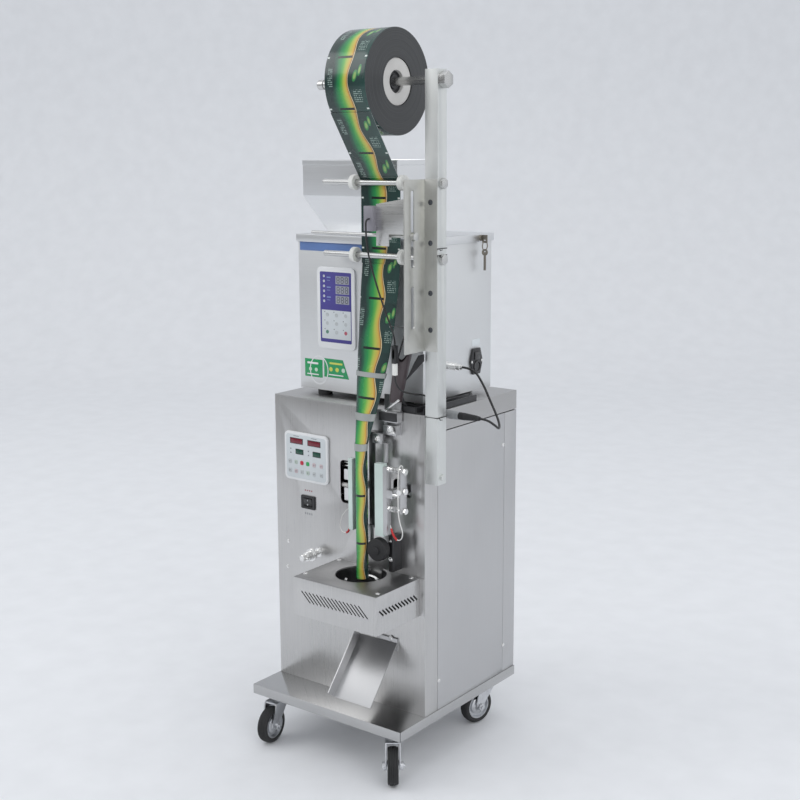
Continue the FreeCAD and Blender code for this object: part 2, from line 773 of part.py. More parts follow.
def make_guard():
    """The guard is a folded box with a round hole on top and slanted vents in front and right."""
    x1 = cab_right - guard_right
    x0 = x1 - guard_w
    y0, y1 = cab_front - guard_d, cab_front
    z1 = deck_top + guard_top_z
    z0 = z1 - guard_h
    shell = box(x0, x1, y0, y1, z0, z1).cut(
        box(x0 + sheet, x1 - sheet, y0 + sheet, y1 + 1, z0 - 1, z1 - sheet))
    hole = cyl((film_x, cab_front - guard_hole_forward, z0), (0, 0, 1), guard_hole_r, guard_h + 1)
    shell = shell.cut(hole)
    zc = deck_top + louvre_z
    mid = (x0 + x1) / 2
    for k in range(louvre_front_n):
        x = mid + (k - (louvre_front_n - 1) / 2) * louvre_front_pitch
        shell = shell.cut(louvre(x, zc, louvre_l, -louvre_tilt, y0 - 1, y0 + sheet + 1))
    ym = (y0 + y1) / 2
    for k in range(louvre_side_n):
        y = ym + (k - (louvre_side_n - 1) / 2) * louvre_side_pitch
        cut = box(x1 - sheet - 1, x1 + 1, y - louvre_side_w / 2, y + louvre_side_w / 2,
                  zc - louvre_side_l / 2, zc + louvre_side_l / 2)
        shell = shell.cut(turned(cut, louvre_tilt, (x1, y, zc), (1, 0, 0)))
    strip = box(x1, x1 + guard_right - 1, y1 - 2, y1, z0, z1)
    add("guard_box", [shell, strip])


def make_chute():
    """The chute slopes forward under the guard, with a raised left wall."""
    x1 = cab_right - chute_right
    x0 = x1 - chute_w
    top = (cab_front - chute_top_forward, deck_top + chute_top_z)
    end = (cab_front - chute_end_forward, deck_top + chute_end_z)
    run = math.hypot(top[0] - end[0], top[1] - end[1])
    uy, uz = (end[0] - top[0]) / run, (end[1] - top[1]) / run
    ny, nz = uz, -uy

    def side(x, height):
        pts = [(x, top[0], top[1]), (x, end[0], end[1]),
               (x, end[0] + ny * height, end[1] + nz * height), (x, top[0] + ny * height, top[1] + nz * height)]
        return pts

    floor = prism(side(x0, sheet), (1, 0, 0), chute_w)
    left = prism(side(x0, chute_wall), (1, 0, 0), sheet)
    w, h = chute_tab
    tab = box(x1 - w, x1, cab_front - chute_top_forward - 0.01, cab_front, deck_top + chute_top_z - h * 0.6,
              deck_top + chute_top_z + h * 0.4)
    add("discharge_chute", fuse([floor, left, tab]))


def make_switch():
    """A rocker turns on two pins in a bezel whose open box reaches through the front sheet."""
    y = cab_front
    bw, bh = switch_bezel
    rw, rh = switch_rocker
    hw, hh = switch_housing_size()
    cx, cz = switch_middle()
    axis_y = y + rocker_axis_depth
    bezel = plate_xz(cx - bw / 2, cx + bw / 2, cz - bh / 2, cz + bh / 2, y - switch_t, y, 2.0)
    bezel = bezel.fuse(box(cx - hw / 2, cx + hw / 2, y, y + switch_depth, cz - hh / 2, cz + hh / 2))
    inner_w, inner_h = rw / 2 + fit, rh / 2 + fit
    bezel = bezel.cut(box(cx - inner_w, cx + inner_w, y - switch_t - 1, y + switch_depth - switch_wall,
                          cz - inner_h, cz + inner_h))
    pin_hole = cyl((cx - hw / 2 - 1, axis_y, cz), (1, 0, 0), rocker_pin_r + fit / 2, hw + 2)
    add("switch_bezel", bezel.cut(pin_hole))

    drum = cyl((cx - rw / 2, axis_y, cz), (1, 0, 0), rh / 2, rw)
    wing_y, dip_y, back_y = axis_y - rocker_wing, axis_y - rocker_wing + rocker_dip, axis_y + rocker_back_depth
    side = [(wing_y, cz + rh / 2), (dip_y, cz), (wing_y, cz - rh / 2), (back_y, cz - rh / 2), (back_y, cz + rh / 2)]
    points = [V(cx - rw / 2, a, b) for a, b in side]
    wedge = Part.Face(Part.makePolygon(points + [points[0]])).extrude(V(rw, 0, 0))
    pin = cyl((cx - hw / 2, axis_y, cz), (1, 0, 0), rocker_pin_r, hw)
    add("switch_rocker", fuse([drum.common(wedge), pin]))


def make_controls():
    """The control panel, the rocker switch and the guard's knob sit on the front sheet."""
    w, h = panel
    x0 = cab_left + panel_left
    z0 = deck_top + panel_low
    y = cab_front
    plate = plate_xz(x0, x0 + w, z0, z0 + h, y - panel_t, y, panel_corner)
    ww, wh = panel_window
    sw, sh = panel_small_window
    for k, (u, v, a, b) in enumerate(((14, panel_red_z, ww, wh), (56, panel_red_z, ww, wh),
                                      (27, panel_green_z, sw, sh), (68, panel_green_z, sw, sh))):
        plate = plate.cut(box(x0 + u, x0 + u + a, y - panel_t - 1, y - panel_t + 1, z0 + v, z0 + v + b))
    keys = []
    for v in key_rows:
        for u in key_columns:
            keys.append(cyl((x0 + u, y - panel_t - key_t, z0 + v), (0, 1, 0), key_r, key_t))
    add("control_panel", fuse([plate] + keys))

    make_switch()

    kx, kz = cab_left + knob_mid, deck_top + knob_z
    stud = cyl((kx, y - knob_l, kz), (0, 1, 0), knob_r * 0.6, knob_l)
    head = cyl((kx, y - knob_l, kz), (0, 1, 0), knob_r, 14)
    pin = cyl((kx - knob_pin_l / 2, y - knob_l + 7, kz), (1, 0, 0), knob_pin_r, knob_pin_l)
    add("guard_knob", fuse([stud, head, pin]))


def make_weigher():
    """The weigher stands on four feet on the cabinet, with its lid, panel, inlet and lock."""
    x0, x1 = scale_x, scale_x + scale_w
    y0, y1 = scale_y, scale_y + scale_d
    lid_low = scale_top - lid_skirt
    wall = scale_sheet
    body = box(x0, x1, y0, y1, scale_low, scale_top - sheet)
    inside = box(x0 + wall, x1 - wall, y0 + wall, y1 - wall, scale_low + wall, scale_top)
    add("weigher_body", body.cut(inside))
    lid = box(x0 - lid_over - sheet, x1 + lid_over + sheet, y0 - lid_over - sheet, y1 + lid_over + sheet,
              lid_low, scale_top)
    inner = box(x0 - lid_over, x1 + lid_over, y0 - lid_over, y1 + lid_over, lid_low - 1, scale_top - sheet)
    add("weigher_lid", lid.cut(inner))
    feet = []
    for x in (x0 + foot_inset, x1 - foot_inset):
        for y in (y0 + foot_r + 2, y1 - foot_r - 2):
            feet.append(cyl((x, y, cab_top), (0, 0, 1), foot_r, foot_h))
    add("weigher_feet", feet)
    w, h = scale_panel
    px, pz = x0 + scale_panel_left, scale_low + scale_panel_low
    add("weigher_panel", plate_xz(px, px + w, pz, pz + h, y0 - scale_panel_t, y0, scale_panel_corner))

    iw, ih = inlet
    iy, iz = y0 + inlet_front, scale_low + inlet_low
    cut = iw * inlet_cut
    outline = [(iy + cut, iz), (iy + iw - cut, iz), (iy + iw, iz + ih / 2),
               (iy + iw - cut, iz + ih), (iy + cut, iz + ih), (iy, iz + ih / 2)]
    add("power_inlet", prism([(x1, a, b) for a, b in outline], (1, 0, 0), inlet_t))
    make_lock(x1 + lid_over + sheet, y0 + lock_y, scale_top - lid_skirt / 2)


def make_lock(x, y, z):
    """A lock on the lid's skirt: a barrel, its key, a ring through the key and a spare key on it."""
    lock = cyl((x, y, z), (1, 0, 0), lock_r, lock_l)
    kw, kt, kh = key_size
    eye_x = x + lock_l + kw / 2
    eye_z = z - kh + lock_r + key_eye_r + 1.5
    key = box(x + lock_l, x + lock_l + kw, y - kt / 2, y + kt / 2, z + lock_r - kh, z + lock_r)
    key = key.cut(cyl((eye_x, y - kt, eye_z), (0, 1, 0), key_eye_r, 2 * kt))
    ring_z = eye_z - key_eye_r + ring_wire + 0.1 - ring_r
    key_ring = Part.makeTorus(ring_r, ring_wire, V(eye_x, y, ring_z), V(1, 0, 0))
    spare_eye_z = ring_z - ring_r + ring_wire + 0.1 - key_eye_r
    bow_z = spare_eye_z + key_eye_r + 1.5 - spare_bow_r
    blade_w, blade_l = spare_blade
    spare = cyl((eye_x, y - kt / 2, bow_z), (0, 1, 0), spare_bow_r, kt)
    spare = spare.fuse(box(eye_x - blade_w / 2, eye_x + blade_w / 2, y - kt / 2, y + kt / 2, bow_z - blade_l, bow_z))
    spare = spare.cut(cyl((eye_x, y - kt, spare_eye_z), (0, 1, 0), key_eye_r, 2 * kt))
    add("lid_lock", [fuse([lock, key]), key_ring, spare])


def make_hopper():
    """The hopper is an open shell: straight above, and tapered below its fold."""
    x0, x1 = scale_x + hopper_left, scale_x + hopper_left + hopper_w
    y0, y1 = scale_y + hopper_front, scale_y + hopper_front + hopper_d
    zt, zf, zb = scale_low + hopper_top, scale_low + hopper_fold, scale_top
    tw, td = hopper_throat
    tx = scale_x + hopper_throat_left
    ty = (y0 + y1) / 2 - td / 2

    def funnel(wall):
        low = (tx + wall, tx + tw - wall, ty + wall, ty + td - wall, zb)
        high = (x0 + wall, x1 - wall, y0 + wall, y1 - wall, zf)
        return frustum(low, high).fuse(box(high[0], high[1], high[2], high[3], zf, zt))

    add("weigher_hopper", funnel(0).cut(funnel(sheet)).removeSplitter())


def make_top_fittings():
    """The black rail, the product funnel and the former's bracket stand before the weigher."""
    x1 = cab_right - rail_inset
    y0 = cab_front + rail_inset
    z0 = cab_top
    side = box(x1 - rail_w, x1, y0, y0 + rail_l, z0, z0 + rail_h)
    side = side.cut(box(x1 - rail_w + rail_wall, x1 - rail_wall, y0 - 1, y0 + rail_l + 1,
                        z0 + rail_wall, z0 + rail_h + 1))
    cross = box(x1 - rail_w - rail_cross, x1 - rail_w - skin_gap, y0, y0 + rail_w, z0, z0 + rail_h)
    cross = cross.cut(box(x1 - rail_w - rail_cross - 1, x1 - rail_w, y0 + rail_wall, y0 + rail_w - rail_wall,
                          z0 + rail_wall, z0 + rail_h + 1))
    add("top_rails", [side, cross])


def make_former_bracket():
    """The bracket hangs over the front's top edge and holds the former's blocks."""
    x1 = cab_right - bracket_right
    x0 = x1 - bracket_w
    y = cab_front
    strap = box(x0, x1, y - sheet, y, cab_top - bracket_drop, cab_top + bracket_rise)
    strap = strap.fuse(box(x0, x1, y - sheet, y + bracket_back, cab_top, cab_top + sheet))
    w, d, h = bracket_block
    z = deck_top + bracket_block_low
    block = box(x0 + 3, x0 + 3 + w, y - sheet - d, y - sheet, z, z + h)
    aw, ad, ah = arm_block
    cw, cd, ch = bracket_clamp
    clamp_x, clamp_z = x0 + 6, deck_top + bracket_clamp_low
    holder = box(clamp_x, clamp_x + cw, y - sheet - cd, y - sheet, clamp_z, clamp_z + ch)
    screw = cyl((clamp_x + cw * 0.6, y - sheet - cd - 4, clamp_z + ch / 2), (0, 1, 0), 5, 4)
    add("former_bracket", fuse([strap, block, holder, screw]))
    za = deck_top + arm_block_low
    front = y - arm_forward
    arm = box(x0 - aw + 6, x0 + 6, front, front + ad, za, za + ah)
    bz0 = deck_top + former_blade_low
    bw, bt = former_blade
    blade = box(x0 - aw + 6, x0 - aw + 6 + bw, front, front + bt, bz0, za)
    add("former_arm", fuse([arm, blade]))


def make_funnel():
    """The funnel's open bowl narrows into a round spout that slants down towards the film."""
    x1, y1 = cab_right - funnel_right, cab_front + funnel_back
    w, d = funnel_top
    lw, ld = funnel_low
    lx, ly = cab_right - funnel_low_at[0], cab_front - funnel_low_at[1]
    z0, z1 = deck_top + funnel_z[0], deck_top + funnel_z[1]
    end = V(cab_right - spout_end[0], cab_front - spout_end[1], deck_top + spout_end[2])

    def bowl(wall):
        top = (x1 - w + wall, x1 - wall, y1 - d + wall, y1 - wall, z1)
        low = (lx - lw / 2 + wall, lx + lw / 2 - wall, ly - ld / 2 + wall, ly + ld / 2 - wall, z0)
        return frustum(low, top)

    start = V(lx, ly, z0 + spout_r)
    path = end - start

    def spout(r, extra):
        reach = path.Length + extra
        return Part.makeCylinder(r, reach, start, path).fuse(Part.makeSphere(r, start))

    outer = bowl(0).fuse(spout(spout_r, 0))
    inner = bowl(funnel_wall).fuse(spout(spout_r - funnel_wall, 5))
    shell = outer.cut(inner)
    leg_x, leg_y = cab_right - leg_at[0], cab_front + leg_at[1]
    fw, fd, ft = leg_foot
    low = cab_top + rail_h
    foot = box(leg_x - fw / 2, leg_x + fw / 2, leg_y - fd / 2, leg_y + fd / 2, low, low + ft)
    leg_top = z0 + (z1 - z0) * 0.6
    leg = cyl((leg_x, leg_y, low), (0, 0, 1), leg_r, leg_top - low)
    tie = cyl((leg_x, leg_y, leg_top - 2 * leg_r), (-1, -0.2, 0), tie_r, 14).cut(bowl(funnel_wall * 0.5))
    add("product_funnel", fuse([shell, foot, leg, tie]))


def make_cord(points, r):
    """A cord of straight runs and tangent arcs, with a round section."""
    p = [V(*q) for q in points]
    edges = []
    at = p[0]
    radii = []
    for k in range(1, len(p) - 1):
        before, after = p[k] - p[k - 1], p[k + 1] - p[k]
        turn = before.getAngle(after)
        back = 0.45 * min(before.Length, after.Length)
        radii.append(back / math.tan(turn / 2))
        a = p[k] - V(before).normalize() * back
        b = p[k] + V(after).normalize() * back
        bisect = (V(after).normalize() - V(before).normalize()).normalize()
        mid = p[k] + bisect * (radii[-1] * (1 / math.cos(turn / 2) - 1))
        edges.append(Part.LineSegment(at, a).toShape())
        edges.append(Part.Arc(a, mid, b).toShape())
        at = b
    edges.append(Part.LineSegment(at, p[-1]).toShape())
    path = Part.Wire(edges)
    section = Part.Wire(Part.makeCircle(r, p[0], p[1] - p[0]))
    solid = path.makePipeShell([section], True, False)
    length = sum(e.Length for e in edges)
    print("cord", round(length, 1), "least radius", round(min(radii), 1), "volume share",
          round(solid.Volume / (math.pi * r * r * length), 3))
    return solid


def make_cords(sensor_end):
    """The chrome connector, the socket and plug, the sensor cord's coupler, and the cords between."""
    wx = scale_x + scale_w
    cy, cz = cab_front + chrome_y, deck_top + chrome_z
    chrome = cyl((wx, cy, cz), (1, 0, 0), chrome_r, chrome_l)
    collar = cyl((wx, cy, cz), (1, 0, 0), chrome_nut_r, 4)
    sy, sz = cab_front + socket_y, deck_top + socket_z
    socket = cyl((cab_right, sy, sz), (1, 0, 0), socket_r, socket_l)
    add("side_connectors", [fuse([chrome, collar]), socket])
    plug_x = cab_right + socket_l
    add("side_plug", Part.makeCone(side_plug_r[0], side_plug_r[1], side_plug_l, V(plug_x, sy, sz), V(1, 0, 0)))
    side = [
        (plug_x + side_plug_l, sy, sz),
        (plug_x + side_plug_l + 14, sy, sz),
        (plug_x + side_plug_l + 25, sy + 7, sz - 9),
        (plug_x + side_plug_l + 25, sy + 22, sz - 19),
        (plug_x + side_plug_l + 15, sy + 37, sz - 12),
        (plug_x + side_plug_l + 3, sy + 43, sz + 4),
        (cab_right + 60, cy - 1, sz + 26),
        (cab_right + 47, cy, sz + 49),
        (cab_right + 27, cy, cz),
        (wx + chrome_l, cy, cz),
    ]
    add("side_cord", make_cord(side, side_cord_r))

    cw, cd, ch = coupler
    ex, ey, ez = cab_right - coupler_at[0], cab_front - coupler_at[1], deck_top + coupler_at[2]
    lw, ld, lh = coupler_end
    top_half = box(ex - cw / 2, ex + cw / 2, ey - cd / 2, ey + cd / 2, ez, ez + ch)
    low_half = box(ex - lw / 2, ex + lw / 2, ey - ld / 2, ey + ld / 2, ez - lh, ez)
    add("cord_coupler", [top_half, low_half])
    bx, by, bz = sensor_end
    upper = [
        (bx, by, bz),
        (bx, by - 9, bz),
        (bx, by - 9, bz - 16),
        (bx - 2, by - 4, bz - 48),
        (bx + 2, by + 9, bz - 95),
        (bx + 14, by + 15, bz - 138),
        (bx + 30, by + 17, bz - 176),
        (ex, ey, ez + ch + 12),
        (ex, ey, ez + ch),
    ]
    add("sensor_cord", make_cord(upper, sensor_cord_r))
    rail_x = cab_right - rail_inset - rail_w / 2
    rail_z = cab_top + rail_wall
    lower = [
        (ex, ey, ez - lh),
        (ex, ey, ez - lh - 12),
        (ex + 6, ey + 7, ez - lh - 27),
        (cab_right - 22, cab_front - 8, ez - lh - 34),
        (cab_right - 14, cab_front + 12, ez - lh - 37),
        (rail_x, cab_front + 34, ez - lh - 46),
        (rail_x, cab_front + 34, rail_z),
    ]
    add("rail_cord", make_cord(lower, sensor_cord_r))


def build():
    """Builds every node."""
    make_deck()
    make_cabinet()
    make_casters()
    make_post()
    make_roll()
    make_guides()
    sensor_end = make_sensor(make_angle())
    make_film()
    make_sealers()
    make_puller()
    make_guard()
    make_chute()
    make_controls()
    make_weigher()
    make_hopper()
    make_top_fittings()
    make_former_bracket()
    make_funnel()
    make_cords(sensor_end)


build()

os.makedirs("parts", exist_ok=True)
for name, solids in nodes.items():
    shape = solids[0] if len(solids) == 1 else Part.makeCompound(solids)
    shape.exportStep(os.path.join("parts", name + ".step"))
    print(name, [round(v, 1) for v in (shape.BoundBox.XMin, shape.BoundBox.XMax, shape.BoundBox.YMin,
                                       shape.BoundBox.YMax, shape.BoundBox.ZMin, shape.BoundBox.ZMax)],
          shape.isValid(), len(shape.Solids))
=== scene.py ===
"""Looks of a wheeled three side seal packing machine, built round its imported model.

Lengths in the classes are millimetres in the machine's own frame: +Z up, -Y the front, +X the post's side.
"""

import json
import logging
import math
from dataclasses import dataclass
from enum import Enum

import bmesh
import bpy
import numpy as np
from mathutils import Matrix, Vector

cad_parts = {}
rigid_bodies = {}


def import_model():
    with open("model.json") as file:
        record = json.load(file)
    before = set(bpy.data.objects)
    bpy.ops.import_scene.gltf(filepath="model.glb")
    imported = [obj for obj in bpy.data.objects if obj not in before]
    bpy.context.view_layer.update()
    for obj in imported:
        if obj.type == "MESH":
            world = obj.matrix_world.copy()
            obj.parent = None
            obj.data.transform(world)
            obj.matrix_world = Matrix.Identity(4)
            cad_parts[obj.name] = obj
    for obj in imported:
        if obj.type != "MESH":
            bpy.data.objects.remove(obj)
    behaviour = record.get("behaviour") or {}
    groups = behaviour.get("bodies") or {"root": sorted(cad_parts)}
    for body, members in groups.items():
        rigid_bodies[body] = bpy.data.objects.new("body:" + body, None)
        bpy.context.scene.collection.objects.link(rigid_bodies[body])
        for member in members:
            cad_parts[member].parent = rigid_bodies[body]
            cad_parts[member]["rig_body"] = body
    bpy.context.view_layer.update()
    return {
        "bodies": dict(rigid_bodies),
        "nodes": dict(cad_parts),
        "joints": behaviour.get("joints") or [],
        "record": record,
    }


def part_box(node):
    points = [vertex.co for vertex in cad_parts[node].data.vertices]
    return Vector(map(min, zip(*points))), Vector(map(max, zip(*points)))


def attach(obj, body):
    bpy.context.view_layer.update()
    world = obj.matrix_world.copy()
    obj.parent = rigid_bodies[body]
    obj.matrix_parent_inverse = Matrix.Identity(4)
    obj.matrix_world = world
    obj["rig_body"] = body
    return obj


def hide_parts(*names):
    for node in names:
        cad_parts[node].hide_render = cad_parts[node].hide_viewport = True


LOG = logging.getLogger("packing_machine")
Socket = bpy.types.NodeSocket
Piece = bpy.types.Object
MM = 0.001
IMAGE_SIZE = 800
ROUND = 2 * math.pi


class Axis(Enum):
    """A main direction of the machine."""

    X = 0
    Y = 1
    Z = 2

    @property
    def vector(self) -> np.ndarray:
        """The direction as a unit vector."""
        return np.eye(3)[self.value]


RIGHT, FRONT, UP = Axis.X.vector, -Axis.Y.vector, Axis.Z.vector


class Tree:
    """A node tree with short calls for adding and linking nodes."""

    def __init__(self, tree: bpy.types.NodeTree) -> None:
        """Keeps the tree.

        Args:
            tree: the material's, world's or group's node tree.
        """
        self.tree = tree

    def node(self, kind: str, values: dict | None = None, **settings: object) -> bpy.types.Node:
        """Adds a node.

        Args:
            kind: the node's type name.
            values: what each named or numbered input holds, a number, a colour or a socket.
            **settings: properties of the node.

        Returns:
            The new node.
        """
        made = self.tree.nodes.new(kind)
        for name, value in settings.items():
            setattr(made, name, value)
        for key, value in (values or {}).items():
            if isinstance(value, bpy.types.NodeSocket):
                self.tree.links.new(value, made.inputs[key])
            else:
                made.inputs[key].default_value = value
        return made

    def math(self, operation: str, *terms: object) -> Socket:
        """Adds a Math node on numbers or sockets and returns its result."""
        return self.node("ShaderNodeMath", dict(enumerate(terms)), operation=operation).outputs[0]

    def times(self, first: object, second: object) -> Socket:
        """The product of two numbers or sockets."""
        return self.math("MULTIPLY", first, second)

    def less(self, first: object, second: object) -> Socket:
        """The first of two numbers or sockets less the second."""
        return self.math("SUBTRACT", first, second)

    def away(self, value: object, middle: float) -> Socket:
        """How far a value lies from a middle one."""
        return self.math("ABSOLUTE", self.less(value, middle))

    def span(self, value: object, low: float, high: float, to_low: float = 0.0, to_high: float = 1.0,
             smooth: bool = False) -> Socket:
        """Maps a value from one range to another, clamped.

        Args:
            value: the number or socket.
            low: the first range's start.
            high: its end.
            to_low: the second range's start.
            to_high: its end.
            smooth: whether the ends are eased.

        Returns:
            The mapped value.
        """
        made = self.node("ShaderNodeMapRange", {0: value, 1: low, 2: high, 3: to_low, 4: to_high}, clamp=True,
                         interpolation_type="SMOOTHSTEP" if smooth else "LINEAR")
        return made.outputs[0]

    def near(self, value: object, middle: float, full: float, none: float) -> Socket:
        """A mask that is 1 within one distance of a middle value and 0 beyond another."""
        return self.span(self.away(value, middle), full, none, 1.0, 0.0)

    def mix(self, factor: object, first: object, second: object) -> Socket:
        """Mixes two colours and returns the result."""
        return self.node("ShaderNodeMix", {0: factor, 6: first, 7: second}, data_type="RGBA").outputs[2]

    def noise(self, vector: Socket, scale: object, detail: float, **more: float) -> Socket:
        """A noise of a vector, from 0 to 1; more names its other inputs."""
        inputs = {"Vector": vector, "Scale": scale, "Detail": detail, **more}
        return self.node("ShaderNodeTexNoise", inputs).outputs[0]

    def shader(self, values: dict, relief: float, depth: float, height: Socket) -> Socket:
        """Adds a Principled shader with a bump.

        Args:
            values: what its named inputs hold.
            relief: the bump's strength.
            depth: the bump's depth in metres.
            height: the bump's height.

        Returns:
            The shader's output.
        """
        bump = self.node("ShaderNodeBump", {"Strength": relief, "Distance": depth, "Height": height})
        return self.node("ShaderNodeBsdfPrincipled", {**values, "Normal": bump.outputs[0]}).outputs[0]


def rgba(colour: tuple[float, float, float]) -> tuple[float, float, float, float]:
    """A colour with full alpha."""
    return (colour[0], colour[1], colour[2], 1.0)


def shader_group(name: str, inputs: dict[str, float], outputs: tuple[str, ...]) -> tuple[Tree, bool]:
    """Finds or starts a shader node group.

    Args:
        name: the group's name.
        inputs: its number inputs and their default values.
        outputs: its number outputs.

    Returns:
        The group's tree, and whether it is new and still needs its nodes.
    """
    found = bpy.data.node_groups.get(name)
    if found:
        return Tree(found), False
    group = bpy.data.node_groups.new(name, "ShaderNodeTree")
    for label, value in inputs.items():
        socket = group.interface.new_socket(label, in_out="INPUT", socket_type="NodeSocketFloat")
        socket.default_value = value
    for label in outputs:
        group.interface.new_socket(label, in_out="OUTPUT", socket_type="NodeSocketFloat")
    return Tree(group), True


def grain_group() -> bpy.types.NodeTree:
    """The rolled sheet's grain: fine streaks along one direction, and slow cloudy patches.

    Streaks are a noise whose object coordinates are stretched by the three scales; patches are a
    plain noise. Both come out between 0 and 1.

    Returns:
        The group.
    """
    inputs = {"Scale X": 40.0, "Scale Y": 40.0, "Scale Z": 1500.0, "Patch Scale": 6.0}
    tree, new = shader_group("sheet_grain", inputs, ("Streaks", "Patches"))
    if new:
        source = tree.node("NodeGroupInput")
        place = tree.node("ShaderNodeTexCoord").outputs["Object"]
        scales = tree.node("ShaderNodeCombineXYZ", {k: source.outputs[k] for k in range(3)})
        stretched = tree.node("ShaderNodeVectorMath", {0: place, 1: scales.outputs[0]}, operation="MULTIPLY")
        streaks = tree.noise(stretched.outputs[0], 1.0, 3.0, Roughness=0.65)
        patches = tree.noise(place, source.outputs["Patch Scale"], 2.5, Distortion=0.4)
        tree.node("NodeGroupOutput", {"Streaks": streaks, "Patches": patches})
    return tree.tree


def speckle_group() -> bpy.types.NodeTree:
    """Fine pitting and slow tone changes, for rubber, plastic, card and cast pieces.

    Both are noises of the object coordinates, each with its own scale.

    Returns:
        The group.
    """
    tree, new = shader_group("fine_speckle", {"Scale": 900.0, "Slow Scale": 14.0}, ("Fine", "Slow"))
    if new:
        source = tree.node("NodeGroupInput")
        place = tree.node("ShaderNodeTexCoord").outputs["Object"]
        tree.node("NodeGroupOutput", {"Fine": tree.noise(place, source.outputs[0], 2.0),
                                      "Slow": tree.noise(place, source.outputs[1], 3.0)})
    return tree.tree


@dataclass(frozen=True)
class Finish:
    """A surface finish that becomes one material."""

    name: str

    def material(self) -> bpy.types.Material:
        """Makes the finish's material once and finds it again later.

        Returns:
            The material.
        """
        found = bpy.data.materials.get(self.name)
        if found:
            return found
        made = bpy.data.materials.new(self.name)
        made.use_nodes = True
        made.node_tree.nodes.clear()
        tree = Tree(made.node_tree)
        tree.node("ShaderNodeOutputMaterial", {"Surface": self.surface(tree)})
        return made

    def surface(self, tree: Tree) -> Socket:
        """Builds the shader in a tree and returns its output; each kind of finish has its own."""
        raise NotImplementedError(f"{self.name} has no shader for {tree.tree.name}")

    @staticmethod
    def shades(colour: tuple, change: float) -> tuple:
        """A colour made darker and lighter by a share, both with full alpha."""
        return tuple(rgba(tuple(min(1.0, c * (1 + sign * change)) for c in colour)) for sign in (-1, 1))


@dataclass(frozen=True)
class SheetMetal(Finish):
    """Steel sheet with a brushed grain along one direction and cloudy handling marks."""

    tone: tuple[float, float, float] = (0.62, 0.62, 0.62)
    roughness: float = 0.28
    grain: Axis = Axis.Z
    spread: float = 0.10
    contrast: float = 0.10
    relief: float = 0.06
    patch_scale: float = 6.0
    along: float = 12.0
    crosswise: float = 1300.0
    depth: float = 0.0004

    def surface(self, tree: Tree) -> Socket:
        """A metal whose tone, roughness and bump follow the sheet's grain.

        Args:
            tree: the material's tree.

        Returns:
            The shader's output.
        """
        scales = [self.crosswise] * 3 + [self.patch_scale]
        scales[self.grain.value] = self.along
        grain = tree.node("ShaderNodeGroup", node_tree=grain_group())
        for socket, value in zip(grain.inputs, scales):
            socket.default_value = value
        streaks, patches = grain.outputs["Streaks"], grain.outputs["Patches"]
        blend = tree.math("ADD", tree.times(streaks, 0.5), tree.times(patches, 0.5))
        colour = tree.mix(tree.span(blend, 0.3, 0.7), *self.shades(self.tone, self.contrast))
        mixed = tree.math("ADD", tree.times(streaks, 0.6), tree.times(patches, 0.4))
        rough = tree.span(mixed, 0.3, 0.7, self.roughness - self.spread / 2, self.roughness + self.spread / 2)
        look = {"Base Color": colour, "Metallic": 1.0, "Roughness": rough}
        return tree.shader(look, self.relief, self.depth, streaks)


@dataclass(frozen=True)
class Moulded(Finish):
    """Plastic, rubber or paint with fine pitting and slow tone changes."""

    colour: tuple[float, float, float] = (0.5, 0.5, 0.5)
    roughness: float = 0.45
    relief: float = 0.03
    coat: float = 0.0
    metallic: float = 0.0
    variation: float = 0.08
    scale: float = 900.0
    depth: float = 0.0003

    def surface(self, tree: Tree) -> Socket:
        """A shader whose tone, roughness and bump follow the speckle.

        Args:
            tree: the material's tree.

        Returns:
            The shader's output.
        """
        speckle = tree.node("ShaderNodeGroup", {0: self.scale}, node_tree=speckle_group())
        fine, slow = speckle.outputs["Fine"], speckle.outputs["Slow"]
        colour = tree.mix(tree.span(slow, 0.3, 0.7), *self.shades(self.colour, self.variation))
        rough = tree.span(fine, 0.3, 0.7, self.roughness * 0.88, min(1.0, self.roughness * 1.12))
        return tree.shader({"Base Color": colour, "Roughness": rough, "Metallic": self.metallic,
                            "Coat Weight": self.coat, "Coat Roughness": 0.12}, self.relief, self.depth, fine)


